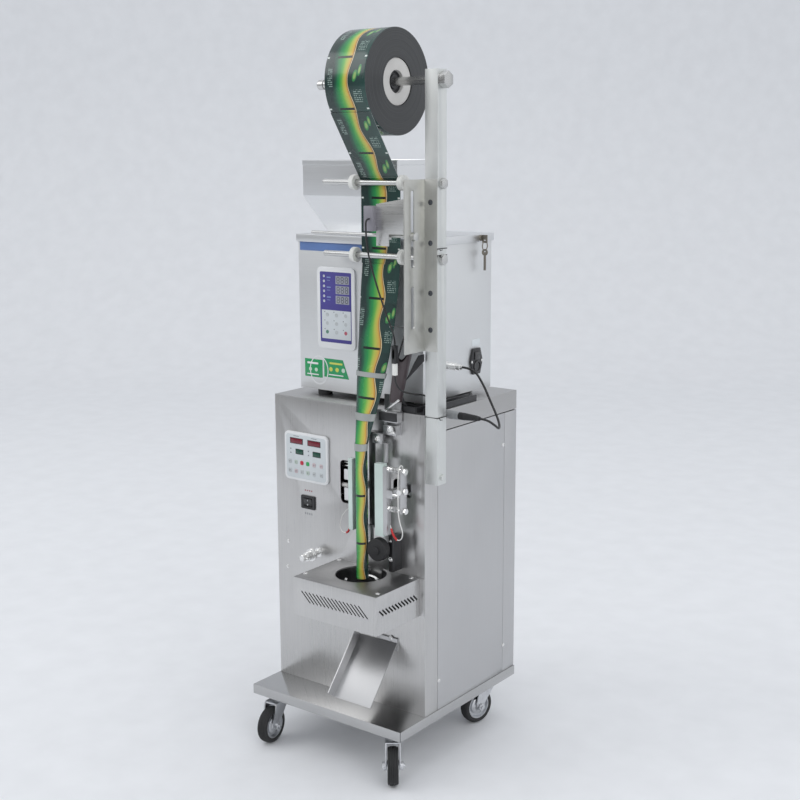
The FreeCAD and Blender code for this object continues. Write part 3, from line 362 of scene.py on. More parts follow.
@dataclass(frozen=True)
class PrintedFilm(Finish):
    """Glossy laminate printed in repeats: a winding green to orange band, seeds, fine dashes and edge marks.

    The UV map runs across the web in u, from 0 to 1, and along it in v, in metres. Beyond 0 and 1 the
    plain inner face shows.
    """

    repeat: float = 0.085
    ground: tuple[float, float, float] = (0.014, 0.036, 0.033)
    deep: tuple[float, float, float] = (0.020, 0.066, 0.056)
    inner: tuple[float, float, float] = (0.20, 0.22, 0.22)
    stops: tuple = ((0.0, (0.012, 0.12, 0.060)), (0.30, (0.020, 0.27, 0.070)), (0.52, (0.12, 0.42, 0.070)),
                    (0.70, (0.45, 0.52, 0.085)), (0.88, (0.62, 0.44, 0.085)), (1.0, (0.58, 0.24, 0.050)))
    columns: float = 62.0
    rows: float = 26.0
    bar_at: tuple[float, float] = (0.45, 0.93)
    ovals: tuple = ((0.75, 0.30, 0.055), (0.86, 0.20, 0.040))
    dash_fields: tuple = (((0.085, 0.20), (0.14, 0.50)), ((0.70, 0.90), (0.56, 0.80)))

    def band(self, tree: Tree, u: Socket, turn: Socket, under: Socket) -> Socket:
        """Lays the winding band and its pale edge line over a colour.

        Its left and right edges are sines of the repeat, and the colour runs between them.

        Args:
            tree: the material's tree.
            u: the place across the web.
            turn: the place along it, in repeats.
            under: the colour below.

        Returns:
            The mixed colour.
        """
        swing = tree.times(tree.math("SINE", tree.times(turn, ROUND)), 0.028)
        sway = tree.times(tree.math("SINE", tree.math("MULTIPLY_ADD", turn, ROUND, 2.2)), 0.040)
        left = tree.math("ADD", swing, 0.275)
        right = tree.math("ADD", sway, 0.600)
        share = tree.math("DIVIDE", tree.less(u, left), tree.less(right, left))
        ramp = tree.node("ShaderNodeValToRGB", {0: share})
        ramp.color_ramp.elements[0].color = rgba(self.stops[0][1])
        ramp.color_ramp.elements[1].color = rgba(self.stops[-1][1])
        for place, colour in self.stops[1:-1]:
            ramp.color_ramp.elements.new(place).color = rgba(colour)
        inside = tree.times(tree.span(share, -0.22, 0.10), tree.span(share, 0.985, 1.0, 1.0, 0.0))
        colour = tree.mix(inside, under, ramp.outputs[0])
        return tree.mix(tree.near(share, 1.04, 0.016, 0.026), colour, rgba((0.80, 0.62, 0.34)))

    def dashes(self, tree: Tree, u: Socket, step: Socket, field: tuple) -> Socket:
        """Fine dashes in rows: cells of a white noise over a limit, cut to the middle of each row.

        Args:
            tree: the material's tree.
            u: the place across the web.
            step: the place within the repeat, from 0 to 1.
            field: the lowest and highest u, and the lowest and highest step.

        Returns:
            The mask.
        """
        rows = tree.times(step, self.rows)
        cell = tree.node("ShaderNodeCombineXYZ", {0: tree.math("FLOOR", tree.times(u, self.columns)),
                                                  1: tree.math("FLOOR", rows)})
        chance = tree.node("ShaderNodeTexWhiteNoise", {"Vector": cell.outputs[0]}, noise_dimensions="2D")
        kept = tree.times(tree.near(tree.math("FRACT", rows), 0.5, 0.20, 0.26),
                          tree.math("GREATER_THAN", chance.outputs["Value"], 0.30))
        for value, (low, high) in zip((u, step), field):
            kept = tree.times(kept, tree.math("GREATER_THAN", value, low))
            kept = tree.times(kept, tree.math("LESS_THAN", value, high))
        return tree.times(kept, 0.62)

    def marks(self, tree: Tree, u: Socket, step: Socket, under: Socket) -> Socket:
        """Lays the dashes, the short bar over the band and the registration marks at both edges.

        Args:
            tree: the material's tree.
            u: the place across the web.
            step: the place within the repeat, from 0 to 1.
            under: the colour below.

        Returns:
            The mixed colour.
        """
        colour = under
        for field in self.dash_fields:
            colour = tree.mix(self.dashes(tree, u, step, field), colour, rgba((0.42, 0.56, 0.50)))
        bar_u, bar_v = self.bar_at
        bar = tree.times(tree.near(u, bar_u, 0.175, 0.185), tree.near(step, bar_v, 0.022, 0.027))
        colour = tree.mix(bar, colour, rgba((0.004, 0.012, 0.010)))
        edge = tree.near(tree.away(u, 0.5), 0.462, 0.026, 0.030)
        mark = tree.times(edge, tree.near(step, bar_v, 0.014, 0.018))
        return tree.mix(mark, colour, rgba((0.70, 0.76, 0.72)))

    def seeds(self, tree: Tree, u: Socket, step: Socket, under: Socket) -> Socket:
        """Lays two plain leaning ovals beside the band, light on green, over a colour.

        An oval is where the squares of the leaning u and of the step, each over its half width, add up to
        less than 1.

        Args:
            tree: the material's tree.
            u: the place across the web.
            step: the place within the repeat.
            under: the colour below.

        Returns:
            The mixed colour.
        """
        colour = under
        for at_u, at_v, width in self.ovals:
            part_u = tree.math("DIVIDE", tree.less(u, at_u), width)
            part_v = tree.math("DIVIDE", tree.less(step, at_v), 0.115)
            lean = tree.math("MULTIPLY_ADD", part_v, 0.5, part_u)
            oval = tree.math("ADD", tree.math("POWER", lean, 2.0), tree.math("POWER", part_v, 2.0))
            colour = tree.mix(tree.span(oval, 0.85, 1.0, 1.0, 0.0), colour, rgba((0.045, 0.26, 0.075)))
            colour = tree.mix(tree.span(oval, 0.2, 0.45, 0.8, 0.0), colour, rgba((0.34, 0.50, 0.16)))
        return colour

    def surface(self, tree: Tree) -> Socket:
        """Mixes the print's layers by masks worked out from u and v, under soft creases.

        Args:
            tree: the material's tree.

        Returns:
            The shader's output.
        """
        uv = tree.node("ShaderNodeUVMap", uv_map="print")
        u, v = tree.node("ShaderNodeSeparateXYZ", {0: uv.outputs[0]}).outputs[:2]
        turn = tree.math("DIVIDE", v, self.repeat)
        step = tree.math("FRACT", turn)
        glow = tree.times(tree.span(u, 0.5, 1.0), tree.span(step, 0.0, 0.6, 0.3, 1.0))
        colour = tree.mix(glow, rgba(self.ground), rgba(self.deep))
        colour = self.band(tree, u, turn, colour)
        colour = self.seeds(tree, u, step, colour)
        colour = self.marks(tree, u, step, colour)
        beyond = tree.math("GREATER_THAN", tree.away(u, 0.5), 0.502)
        colour = tree.mix(beyond, colour, rgba(self.inner))
        place = tree.node("ShaderNodeTexCoord").outputs["Object"]
        creases = tree.noise(place, 38.0, 2.0, Distortion=0.6)
        rough = tree.span(creases, 0.3, 0.7, 0.20, 0.30)
        look = {"Base Color": colour, "Roughness": rough, "Coat Weight": 0.25, "Coat Roughness": 0.10}
        return tree.shader(look, 0.22, 0.0015, creases)


@dataclass(frozen=True)
class WoundFilm(Finish):
    """The roll's end: edges of tightly wound dark film, as fine rings about the shaft."""

    centre: tuple[float, float] = (0.0, 0.0)

    def surface(self, tree: Tree) -> Socket:
        """Rings are a noise of the distance from the shaft's axis.

        Args:
            tree: the material's tree.

        Returns:
            The shader's output.
        """
        place = tree.node("ShaderNodeTexCoord").outputs["Object"]
        split = tree.node("ShaderNodeSeparateXYZ", {0: place}).outputs
        dy, dz = (tree.less(split[k + 1], self.centre[k]) for k in range(2))
        radius = tree.math("SQRT", tree.math("ADD", tree.times(dy, dy), tree.times(dz, dz)))
        along = tree.node("ShaderNodeCombineXYZ", {0: radius}).outputs[0]
        rings, slow = tree.noise(along, 700.0, 4.0), tree.noise(along, 90.0, 1.0)
        colour = tree.mix(tree.span(rings, 0.35, 0.65), rgba((0.026, 0.028, 0.030)),
                          rgba((0.056, 0.058, 0.061)))
        colour = tree.mix(tree.span(slow, 0.45, 0.65, 0.0, 0.5), colour, rgba((0.030, 0.032, 0.034)))
        return tree.shader({"Base Color": colour, "Roughness": 0.38}, 0.5, 0.0003, rings)


BRUSHED = SheetMetal("brushed_steel_upright", (0.58, 0.575, 0.57), 0.30)
BRUSHED_SIDE = SheetMetal("brushed_steel_side", (0.56, 0.56, 0.565), 0.36, contrast=0.05)
POLISHED = SheetMetal("polished_steel", (0.50, 0.50, 0.50), 0.14, Axis.X, 0.06, 0.06, 0.03)
WEIGHER_STEEL = SheetMetal("weigher_steel", (0.76, 0.77, 0.775), 0.46, Axis.X, contrast=0.04, relief=0.04)
HOPPER_STEEL = SheetMetal("hopper_steel", (0.76, 0.77, 0.78), 0.36, Axis.X, contrast=0.05, relief=0.04)
# Painted shade: the guard box's top faces take this much darker tone than its sides, for how the light falls
# on its top.
GUARD_TOP_PAINTED_SHADE = SheetMetal("guard_top_painted_shade", (0.30, 0.30, 0.305), 0.40, Axis.X, contrast=0.07, relief=0.04)
CHUTE_STEEL = SheetMetal("satin_chute", (0.54, 0.54, 0.545), 0.38, Axis.Y, contrast=0.06)
COVER_STEEL = SheetMetal("dull_cover", (0.49, 0.485, 0.48), 0.36, Axis.X, contrast=0.08)
POST_STEEL = SheetMetal("satin_post_tube", (0.72, 0.735, 0.72), 0.42, Axis.Z, 0.14, 0.07, patch_scale=22.0)
ZINC = SheetMetal("zinc_plate", (0.64, 0.65, 0.67), 0.30, Axis.Z, 0.12, 0.12, patch_scale=60.0)
BRIGHT = SheetMetal("bright_bar", (0.80, 0.80, 0.79), 0.12, Axis.X, 0.06, 0.05, 0.02)
SATIN_ROD = SheetMetal("satin_rod", (0.60, 0.60, 0.59), 0.28, Axis.X, contrast=0.06, relief=0.03)
SATIN_DARK = SheetMetal("dark_satin_strip", (0.20, 0.20, 0.205), 0.36)
ANGLE_ZINC = SheetMetal("angle_zinc", (0.56, 0.56, 0.53), 0.40, Axis.Z, 0.14, 0.10, patch_scale=40.0)
KEY_METAL = Moulded("key_bronze", (0.22, 0.20, 0.17), 0.34, 0.05, metallic=0.8)
SENSOR_METAL = Moulded("sensor_grey_lilac", (0.34, 0.33, 0.37), 0.36, 0.05, metallic=0.5)
SLEEVE_RED = Moulded("red_sleeve", (0.50, 0.025, 0.025), 0.45, 0.05)
WIRE_WHITE = Moulded("white_wire", (0.76, 0.76, 0.73), 0.45, 0.05)
STRAP_GREY = Moulded("strap_grey", (0.38, 0.40, 0.39), 0.42, 0.05, metallic=0.4)
MINT_METAL = Moulded("heater_bar_paint", (0.62, 0.72, 0.68), 0.35, 0.04, metallic=0.3)
BLACK_RUBBER = Moulded("black_rubber", (0.020, 0.020, 0.021), 0.62, 0.25)
BLACK_PLASTIC = Moulded("black_plastic", (0.022, 0.022, 0.024), 0.38, 0.08)
FUNNEL_PLASTIC = Moulded("smoked_plastic", (0.062, 0.048, 0.052), 0.34, 0.05)
WHITE_NYLON = Moulded("white_nylon", (0.80, 0.80, 0.77), 0.42, 0.06)
WHITE_PLASTIC = Moulded("white_plastic", (0.78, 0.79, 0.80), 0.40, 0.05, variation=0.03)
FIELD_VIOLET = Moulded("violet_field", (0.060, 0.050, 0.26), 0.50)
DISPLAY_GREY = Moulded("display_grey", (0.33, 0.34, 0.40), 0.22, 0.02, 0.5)
WINDOW_RED = Moulded("window_red", (0.17, 0.008, 0.022), 0.25, 0.02, 0.2)
WINDOW_GREEN = Moulded("window_green", (0.006, 0.065, 0.040), 0.25, 0.02, 0.2)
MARK_RED = Moulded("mark_red", (0.30, 0.05, 0.06), 0.5, 0.02)
MARK_GREY = Moulded("mark_grey", (0.13, 0.13, 0.15), 0.5, 0.02)
MARK_DARK = Moulded("mark_dark", (0.06, 0.065, 0.075), 0.4, 0.02)
KEY_RED = Moulded("key_red", (0.52, 0.02, 0.05), 0.35)
KEY_GREEN = Moulded("key_green", (0.03, 0.36, 0.10), 0.35)
KEY_BLUE = Moulded("key_blue", (0.20, 0.27, 0.52), 0.35)
KEY_GREY = Moulded("key_grey", (0.50, 0.53, 0.54), 0.38)
KEY_SAGE = Moulded("key_sage", (0.46, 0.54, 0.48), 0.38)
KEY_ROSE = Moulded("key_rose", (0.58, 0.48, 0.50), 0.38)
KEY_SAGE_DARK = Moulded("key_dark_sage", (0.12, 0.26, 0.19), 0.38)
KEY_ROSE_DARK = Moulded("key_dark_rose", (0.45, 0.10, 0.14), 0.38)
CARD = Moulded("roll_card", (0.58, 0.57, 0.55), 0.55, 0.2)
CORD_BLACK = Moulded("cord_black", (0.018, 0.018, 0.019), 0.45, 0.05)
BLACK_GLOSS = Moulded("black_gloss", (0.020, 0.020, 0.021), 0.22, 0.02, 0.3)
GREY_PLASTIC = Moulded("grey_plastic", (0.30, 0.31, 0.32), 0.40, 0.05)
PANEL_FACE = Moulded("panel_face", (0.62, 0.66, 0.68), 0.35, variation=0.03)
BANNER_BLUE = Moulded("banner_blue", (0.12, 0.21, 0.46), 0.35, 0.02)
STICKER_GREEN = Moulded("sticker_green", (0.010, 0.30, 0.10), 0.30, coat=0.3)
STICKER_YELLOW = Moulded("sticker_yellow", (0.62, 0.66, 0.12), 0.35, 0.02)
STICKER_PALE = Moulded("sticker_pale", (0.55, 0.68, 0.58), 0.35, 0.02)
FILM_INSIDE = Moulded("film_inside", (0.42, 0.44, 0.45), 0.28, 0.05, metallic=0.6)
FILM = PrintedFilm("printed_film")


def grid_faces(rows: int, columns: int, wrap_rows: bool = False, wrap_columns: bool = False) -> np.ndarray:
    """Quads between the points of a grid.

    Args:
        rows: how many rows of points.
        columns: how many points in a row.
        wrap_rows: whether the last row joins the first.
        wrap_columns: whether each row is a loop.

    Returns:
        An array of four point numbers per face.
    """
    i, j = np.meshgrid(np.arange(rows if wrap_rows else rows - 1),
                       np.arange(columns if wrap_columns else columns - 1), indexing="ij")
    i2, j2 = (i + 1) % rows, (j + 1) % columns
    corners = (i * columns + j, i * columns + j2, i2 * columns + j2, i2 * columns + j)
    return np.stack([c.ravel() for c in corners], axis=1)


def round_rectangle(width: float, height: float, radius: float, steps: int = 6) -> np.ndarray:
    """The outline of a rectangle with round corners: four quarter circles about the corners' centres.

    Args:
        width: its size along u.
        height: its size along v.
        radius: the corner radius, held under half of either side.
        steps: points per corner.

    Returns:
        (u, v) points about the rectangle's middle.
    """
    radius = max(1e-4, min(radius, width / 2 - 1e-4, height / 2 - 1e-4))
    angles = np.linspace(0, math.pi / 2, steps)
    corners = []
    for k, (su, sv) in enumerate(((1, 1), (-1, 1), (-1, -1), (1, -1))):
        turn = angles + k * math.pi / 2
        centre = (su * (width / 2 - radius), sv * (height / 2 - radius))
        corners.append(centre + radius * np.column_stack([np.cos(turn), np.sin(turn)]))
    return np.concatenate(corners)


def arc(radius: float, steps: int, start: float = 0.0, sweep: float = ROUND) -> np.ndarray:
    """Points on a circle about 0, both ends of the sweep among them."""
    turn = np.linspace(start, start + sweep, steps)
    return radius * np.column_stack([np.cos(turn), np.sin(turn)])


def side_axes(axis: np.ndarray) -> tuple[np.ndarray, np.ndarray]:
    """Two unit vectors at right angles to a direction and to each other.

    Args:
        axis: the direction.

    Returns:
        The two vectors.
    """
    axis = axis / np.linalg.norm(axis)
    helper = np.array([0.0, 0.0, 1.0]) if abs(axis[2]) < 0.9 else np.array([1.0, 0.0, 0.0])
    first = np.cross(helper, axis)
    first /= np.linalg.norm(first)
    return first, np.cross(axis, first)


class Form:
    """Gathers surfaces, in millimetres, into one mesh object."""

    def __init__(self, name: str) -> None:
        """Starts an empty form.

        Args:
            name: the piece's name in the scene.
        """
        self.name = name
        self.points: list[np.ndarray] = []
        self.faces: list[list[int]] = []
        self.slots: list[int] = []
        self.prints: list[np.ndarray] = []
        self.count = 0

    def add(self, points: np.ndarray, faces: list, slot: int = 0, prints: np.ndarray | None = None) -> "Form":
        """Adds points and faces.

        Args:
            points: an array of points.
            faces: lists of point numbers.
            slot: which of the finishes the faces take.
            prints: a print coordinate pair for each point, or None.

        Returns:
            The form itself.
        """
        flat = np.asarray(points, float).reshape(-1, 3)
        self.faces.extend([[int(i) + self.count for i in face] for face in faces])
        self.slots.extend([slot] * len(faces))
        self.points.append(flat)
        self.prints.append(np.zeros((len(flat), 2)) if prints is None else prints.reshape(-1, 2))
        self.count += len(flat)
        return self

    def grid(self, points: np.ndarray, wrap_rows: bool = False, wrap_columns: bool = False, slot: int = 0,
             prints: np.ndarray | None = None) -> "Form":
        """Adds a grid surface of rows by columns points."""
        return self.add(points, grid_faces(*points.shape[:2], wrap_rows, wrap_columns).tolist(), slot, prints)

    def lathe(self, profile: list, origin: tuple, axis: np.ndarray, steps: int = 40, slot: int = 0) -> "Form":
        """Turns a profile about an axis.

        Args:
            profile: (distance along the axis, radius) pairs.
            origin: the point that distances are measured from.
            axis: the axis's direction.
            steps: how many faces round.
            slot: the finish.

        Returns:
            The form itself.
        """
        line = np.asarray(profile, float)
        axis = np.asarray(axis, float) / np.linalg.norm(axis)
        first, second = side_axes(axis)
        turn = np.linspace(0, ROUND, steps, endpoint=False)
        round_part = np.cos(turn)[None, :, None] * first + np.sin(turn)[None, :, None] * second
        points = np.asarray(origin, float) + line[:, None, 0:1] * axis + line[:, None, 1:2] * round_part
        return self.grid(points, wrap_columns=True, slot=slot)

    def rod(self, start: tuple, end: tuple, radius: float, bevel: float = 0.4, slot: int = 0,
            steps: int = 24) -> "Form":
        """A round bar between two points, with bevelled ends.

        Args:
            start: the middle of one end.
            end: the middle of the other.
            radius: its radius.
            bevel: the bevel's width at both ends.
            slot: the finish.
            steps: how many faces round.

        Returns:
            The form itself.
        """
        along = np.asarray(end, float) - np.asarray(start, float)
        length = float(np.linalg.norm(along))
        bevel = min(bevel, radius * 0.5, length * 0.4)
        profile = [(0, 0), (0, radius - bevel), (bevel * 0.3, radius - bevel * 0.3), (bevel, radius),
                   (length - bevel, radius), (length - bevel * 0.3, radius - bevel * 0.3),
                   (length, radius - bevel), (length, 0)]
        return self.lathe(profile, start, along, steps, slot)

    def prism(self, outlines: list, origin: tuple, u: np.ndarray, v: np.ndarray, slot: int = 0) -> "Form":
        """Joins outlines of equal point count, each set at its own depth, and closes both ends.

        Args:
            outlines: (outline of (u, v) points, depth along u cross v) pairs.
            origin: where the outlines' middle and depth 0 lie.
            u: direction of the outlines' first coordinate.
            v: direction of their second one.
            slot: the finish.

        Returns:
            The form itself.
        """
        u, v = np.asarray(u, float), np.asarray(v, float)
        n = np.cross(u, v)
        start = np.asarray(origin, float)
        rings = [start + o[:, 0:1] * u + o[:, 1:2] * v + depth * n for o, depth in outlines]
        points = np.stack(rings)
        count = points.shape[1]
        faces = grid_faces(len(rings), count, wrap_columns=True).tolist()
        faces.append(list(range(count))[::-1])
        faces.append(list(range((len(rings) - 1) * count, len(rings) * count)))
        return self.add(points, faces, slot)

    def plate(self, low: tuple, high: tuple, corner: float, bevel: float, axis: Axis, slot: int = 0,
              steps: int = 6) -> "Form":
        """A plate between two corners, with round corners seen along an axis, and bevelled faces.

        Args:
            low: its lowest corner.
            high: its highest corner.
            corner: the corner radius.
            bevel: the bevel's width.
            axis: the direction through the plate.
            slot: the finish.
            steps: points per corner.

        Returns:
            The form itself.
        """
        low, high = np.asarray(low, float), np.asarray(high, float)
        size = high - low
        a, b = [(1, 2), (2, 0), (0, 1)][axis.value]
        bevel = min(bevel, size[axis.value] * 0.45)
        middle = (low + high) / 2
        middle[axis.value] = low[axis.value]
        depth = size[axis.value]
        rings = []
        for inset, at in ((bevel, 0.0), (bevel * 0.3, bevel * 0.3), (0.0, bevel), (0.0, depth - bevel),
                          (bevel * 0.3, depth - bevel * 0.3), (bevel, depth)):
            outline = round_rectangle(size[a] - 2 * inset, size[b] - 2 * inset, corner - inset, steps)
            rings.append((outline, at))
        return self.prism(rings, tuple(middle), np.eye(3)[a], np.eye(3)[b], slot)

    def tube(self, path: list, radius: float, steps: int = 8, slot: int = 0) -> "Form":
        """A round bar bent along a path, with flat ends.

        Each ring's first side is the last one's, made square to the path again, so the bar doesn't twist.

        Args:
            path: the points that its middle line passes.
            radius: its radius.
            steps: how many faces round.
            slot: the finish.

        Returns:
            The form itself.
        """
        line = np.asarray(path, float)
        along = np.gradient(line, axis=0)
        along /= np.linalg.norm(along, axis=1)[:, None]
        side = side_axes(along[0])[0]
        sides = []
        for step in along:
            side = side - step * (side @ step)
            side = side / np.linalg.norm(side)
            sides.append(side)
        first = np.array(sides)
        second = np.cross(along, first)
        turn = np.linspace(0, ROUND, steps, endpoint=False)
        ring = np.cos(turn)[None, :, None] * first[:, None] + np.sin(turn)[None, :, None] * second[:, None]
        points = line[:, None] + radius * ring
        self.grid(points, wrap_columns=True, slot=slot)
        self.add(points[0], [list(range(steps))[::-1]], slot)
        return self.add(points[-1], [list(range(steps))], slot)

    def band(self, rings: np.ndarray, slot: int = 0) -> "Form":
        """A closed section carried along a path, one row of points per corner, with both ends closed."""
        corners = list(range(len(rings)))
        self.grid(rings, wrap_rows=True, slot=slot)
        self.add(rings[:, 0], [corners], slot)
        return self.add(rings[:, -1], [corners[::-1]], slot)

    def coil(self, start: tuple, length: float, radius: float, wire: float, turns: int) -> "Form":
        """A compression spring along +X: a bar bent round a helix."""
        around = arc(radius, 12 * turns + 1, sweep=ROUND * turns)
        path = np.column_stack([np.linspace(0, length, len(around)), around])
        return self.tube(np.asarray(start) + path, wire, 6)

    def screw(self, at: tuple, axis: np.ndarray, radius: float, height: float, slot: int = 0) -> "Form":
        """A round head screw on a washer, with a recess.

        Args:
            at: where the washer sits.
            axis: where the head points.
            radius: the head's radius.
            height: the head's height.
            slot: the finish.

        Returns:
            The form itself.
        """
        shares = [(0, 0), (0, 1.25), (0.4, 1.25), (0.45, 1), (height * 0.6, 0.96), (height, 0.62),
                  (height, 0.42), (height * 0.5, 0.40), (height * 0.5, 0)]
        return self.lathe([(along, share * radius) for along, share in shares], at, axis, 18, slot)

    def hexagon(self, at: tuple, axis: np.ndarray, flats: float, height: float) -> "Form":
        """A nut or bolt head with chamfered corners.

        Args:
            at: where it sits.
            axis: where it points.
            flats: its width across flats.
            height: its height.

        Returns:
            The form itself.
        """
        ring = arc(flats / math.sqrt(3), 7)[:-1]
        rings = [(ring * 0.9, 0.0), (ring, 0.5), (ring, height - 0.6), (ring * 0.88, height)]
        return self.prism(rings, at, *side_axes(np.asarray(axis, float)))

    def build(self, finishes: list, body: str, slot_name: str, replaces: tuple = (),
              smooth: float = 35.0) -> Piece:
        """Makes the mesh object, dresses it and lets it ride on its body.

        Args:
            finishes: the finishes that the faces' slots number.
            body: the body it rides on.
            slot_name: not used.
            replaces: names of the nodes it stands for.
            smooth: edges flatter than this many degrees are shaded smooth.

        Returns:
            The object.
        """
        mesh = bpy.data.meshes.new(self.name)
        points = np.concatenate(self.points) * MM
        mesh.from_pydata(points.tolist(), [], self.faces)
        mesh.polygons.foreach_set("material_index", np.array(self.slots, np.int32))
        layer = mesh.uv_layers.new(name="print")
        corners = np.zeros(len(mesh.loops), np.int32)
        mesh.loops.foreach_get("vertex_index", corners)
        layer.data.foreach_set("uv", np.concatenate(self.prints)[corners].ravel().astype(np.float32))
        work = bmesh.new()
        work.from_mesh(mesh)
        bmesh.ops.remove_doubles(work, verts=work.verts, dist=1e-6)
        bmesh.ops.recalc_face_normals(work, faces=work.faces)
        work.to_mesh(mesh)
        work.free()
        return dress(mesh, self.name, finishes, body, replaces, smooth)


def dress(mesh: bpy.types.Mesh, name: str, finishes: list, body: str, replaces: tuple = (),
          smooth: float = 35.0) -> Piece:
    """Links a mesh as a piece with its finishes, shading and body.

    Args:
        mesh: the finished mesh.
        name: the piece's name.
        finishes: its finishes, in the order of its material indices.
        body: the body it rides on.
        replaces: nodes it stands for.
        smooth: the smooth shading angle in degrees.

    Returns:
        The object.
    """
    for finish in finishes:
        mesh.materials.append(finish.material())
    mesh.shade_smooth()
    mesh.set_sharp_from_angle(angle=math.radians(smooth))
    piece = bpy.data.objects.new(name, mesh)
    bpy.context.scene.collection.objects.link(piece)
    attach(piece, body)
    if replaces:
        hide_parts(*replaces)
    return piece


@dataclass(frozen=True)
class SolidPiece:
    """A node shown as its own solid, with softened edges and a finish."""

    node: str
    finish: Finish
    slot_name: str
    bevel: float = 0.5
    top: Finish | None = None
    sharp: float = 38.0
    upward: float = 0.9

    def make(self, frame: dict) -> Piece:
        """Copies the node's mesh, merges it, softens its sharp edges and dresses it.

        Args:
            frame: what the frame's load gave.

        Returns:
            The piece.
        """
        source = frame["nodes"][self.node]
        mesh = source.data.copy()
        mesh.materials.clear()
        work = bmesh.new()
        work.from_mesh(mesh)
        bmesh.ops.remove_doubles(work, verts=work.verts, dist=2e-6)
        bmesh.ops.dissolve_limit(work, angle_limit=math.radians(1.0), verts=work.verts, edges=work.edges)
        if self.bevel > 0:
            limit = math.radians(self.sharp)
            sharp = [e for e in work.edges if len(e.link_faces) == 2 and e.calc_face_angle(0) > limit]
            bmesh.ops.bevel(work, geom=sharp, offset=self.bevel * MM, segments=2, profile=0.6, affect="EDGES",
                            clamp_overlap=True)
        # Faces that point up take the second finish; for the guard box that is painted shade on its top
        # faces.
        if self.top:
            work.normal_update()
            for face in work.faces:
                face.material_index = int(face.normal.z > self.upward)
        work.to_mesh(mesh)
        work.free()
        if "custom_normal" in mesh.attributes:
            mesh.attributes.remove(mesh.attributes["custom_normal"])
        finishes = [self.finish, self.top] if self.top else [self.finish]
        return dress(mesh, self.node + "_finished", finishes, source["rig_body"], (self.node,))


def node_span(node: str) -> tuple[np.ndarray, np.ndarray]:
    """A node's lowest and highest corner in millimetres."""
    low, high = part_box(node)
    return np.array(low) / MM, np.array(high) / MM


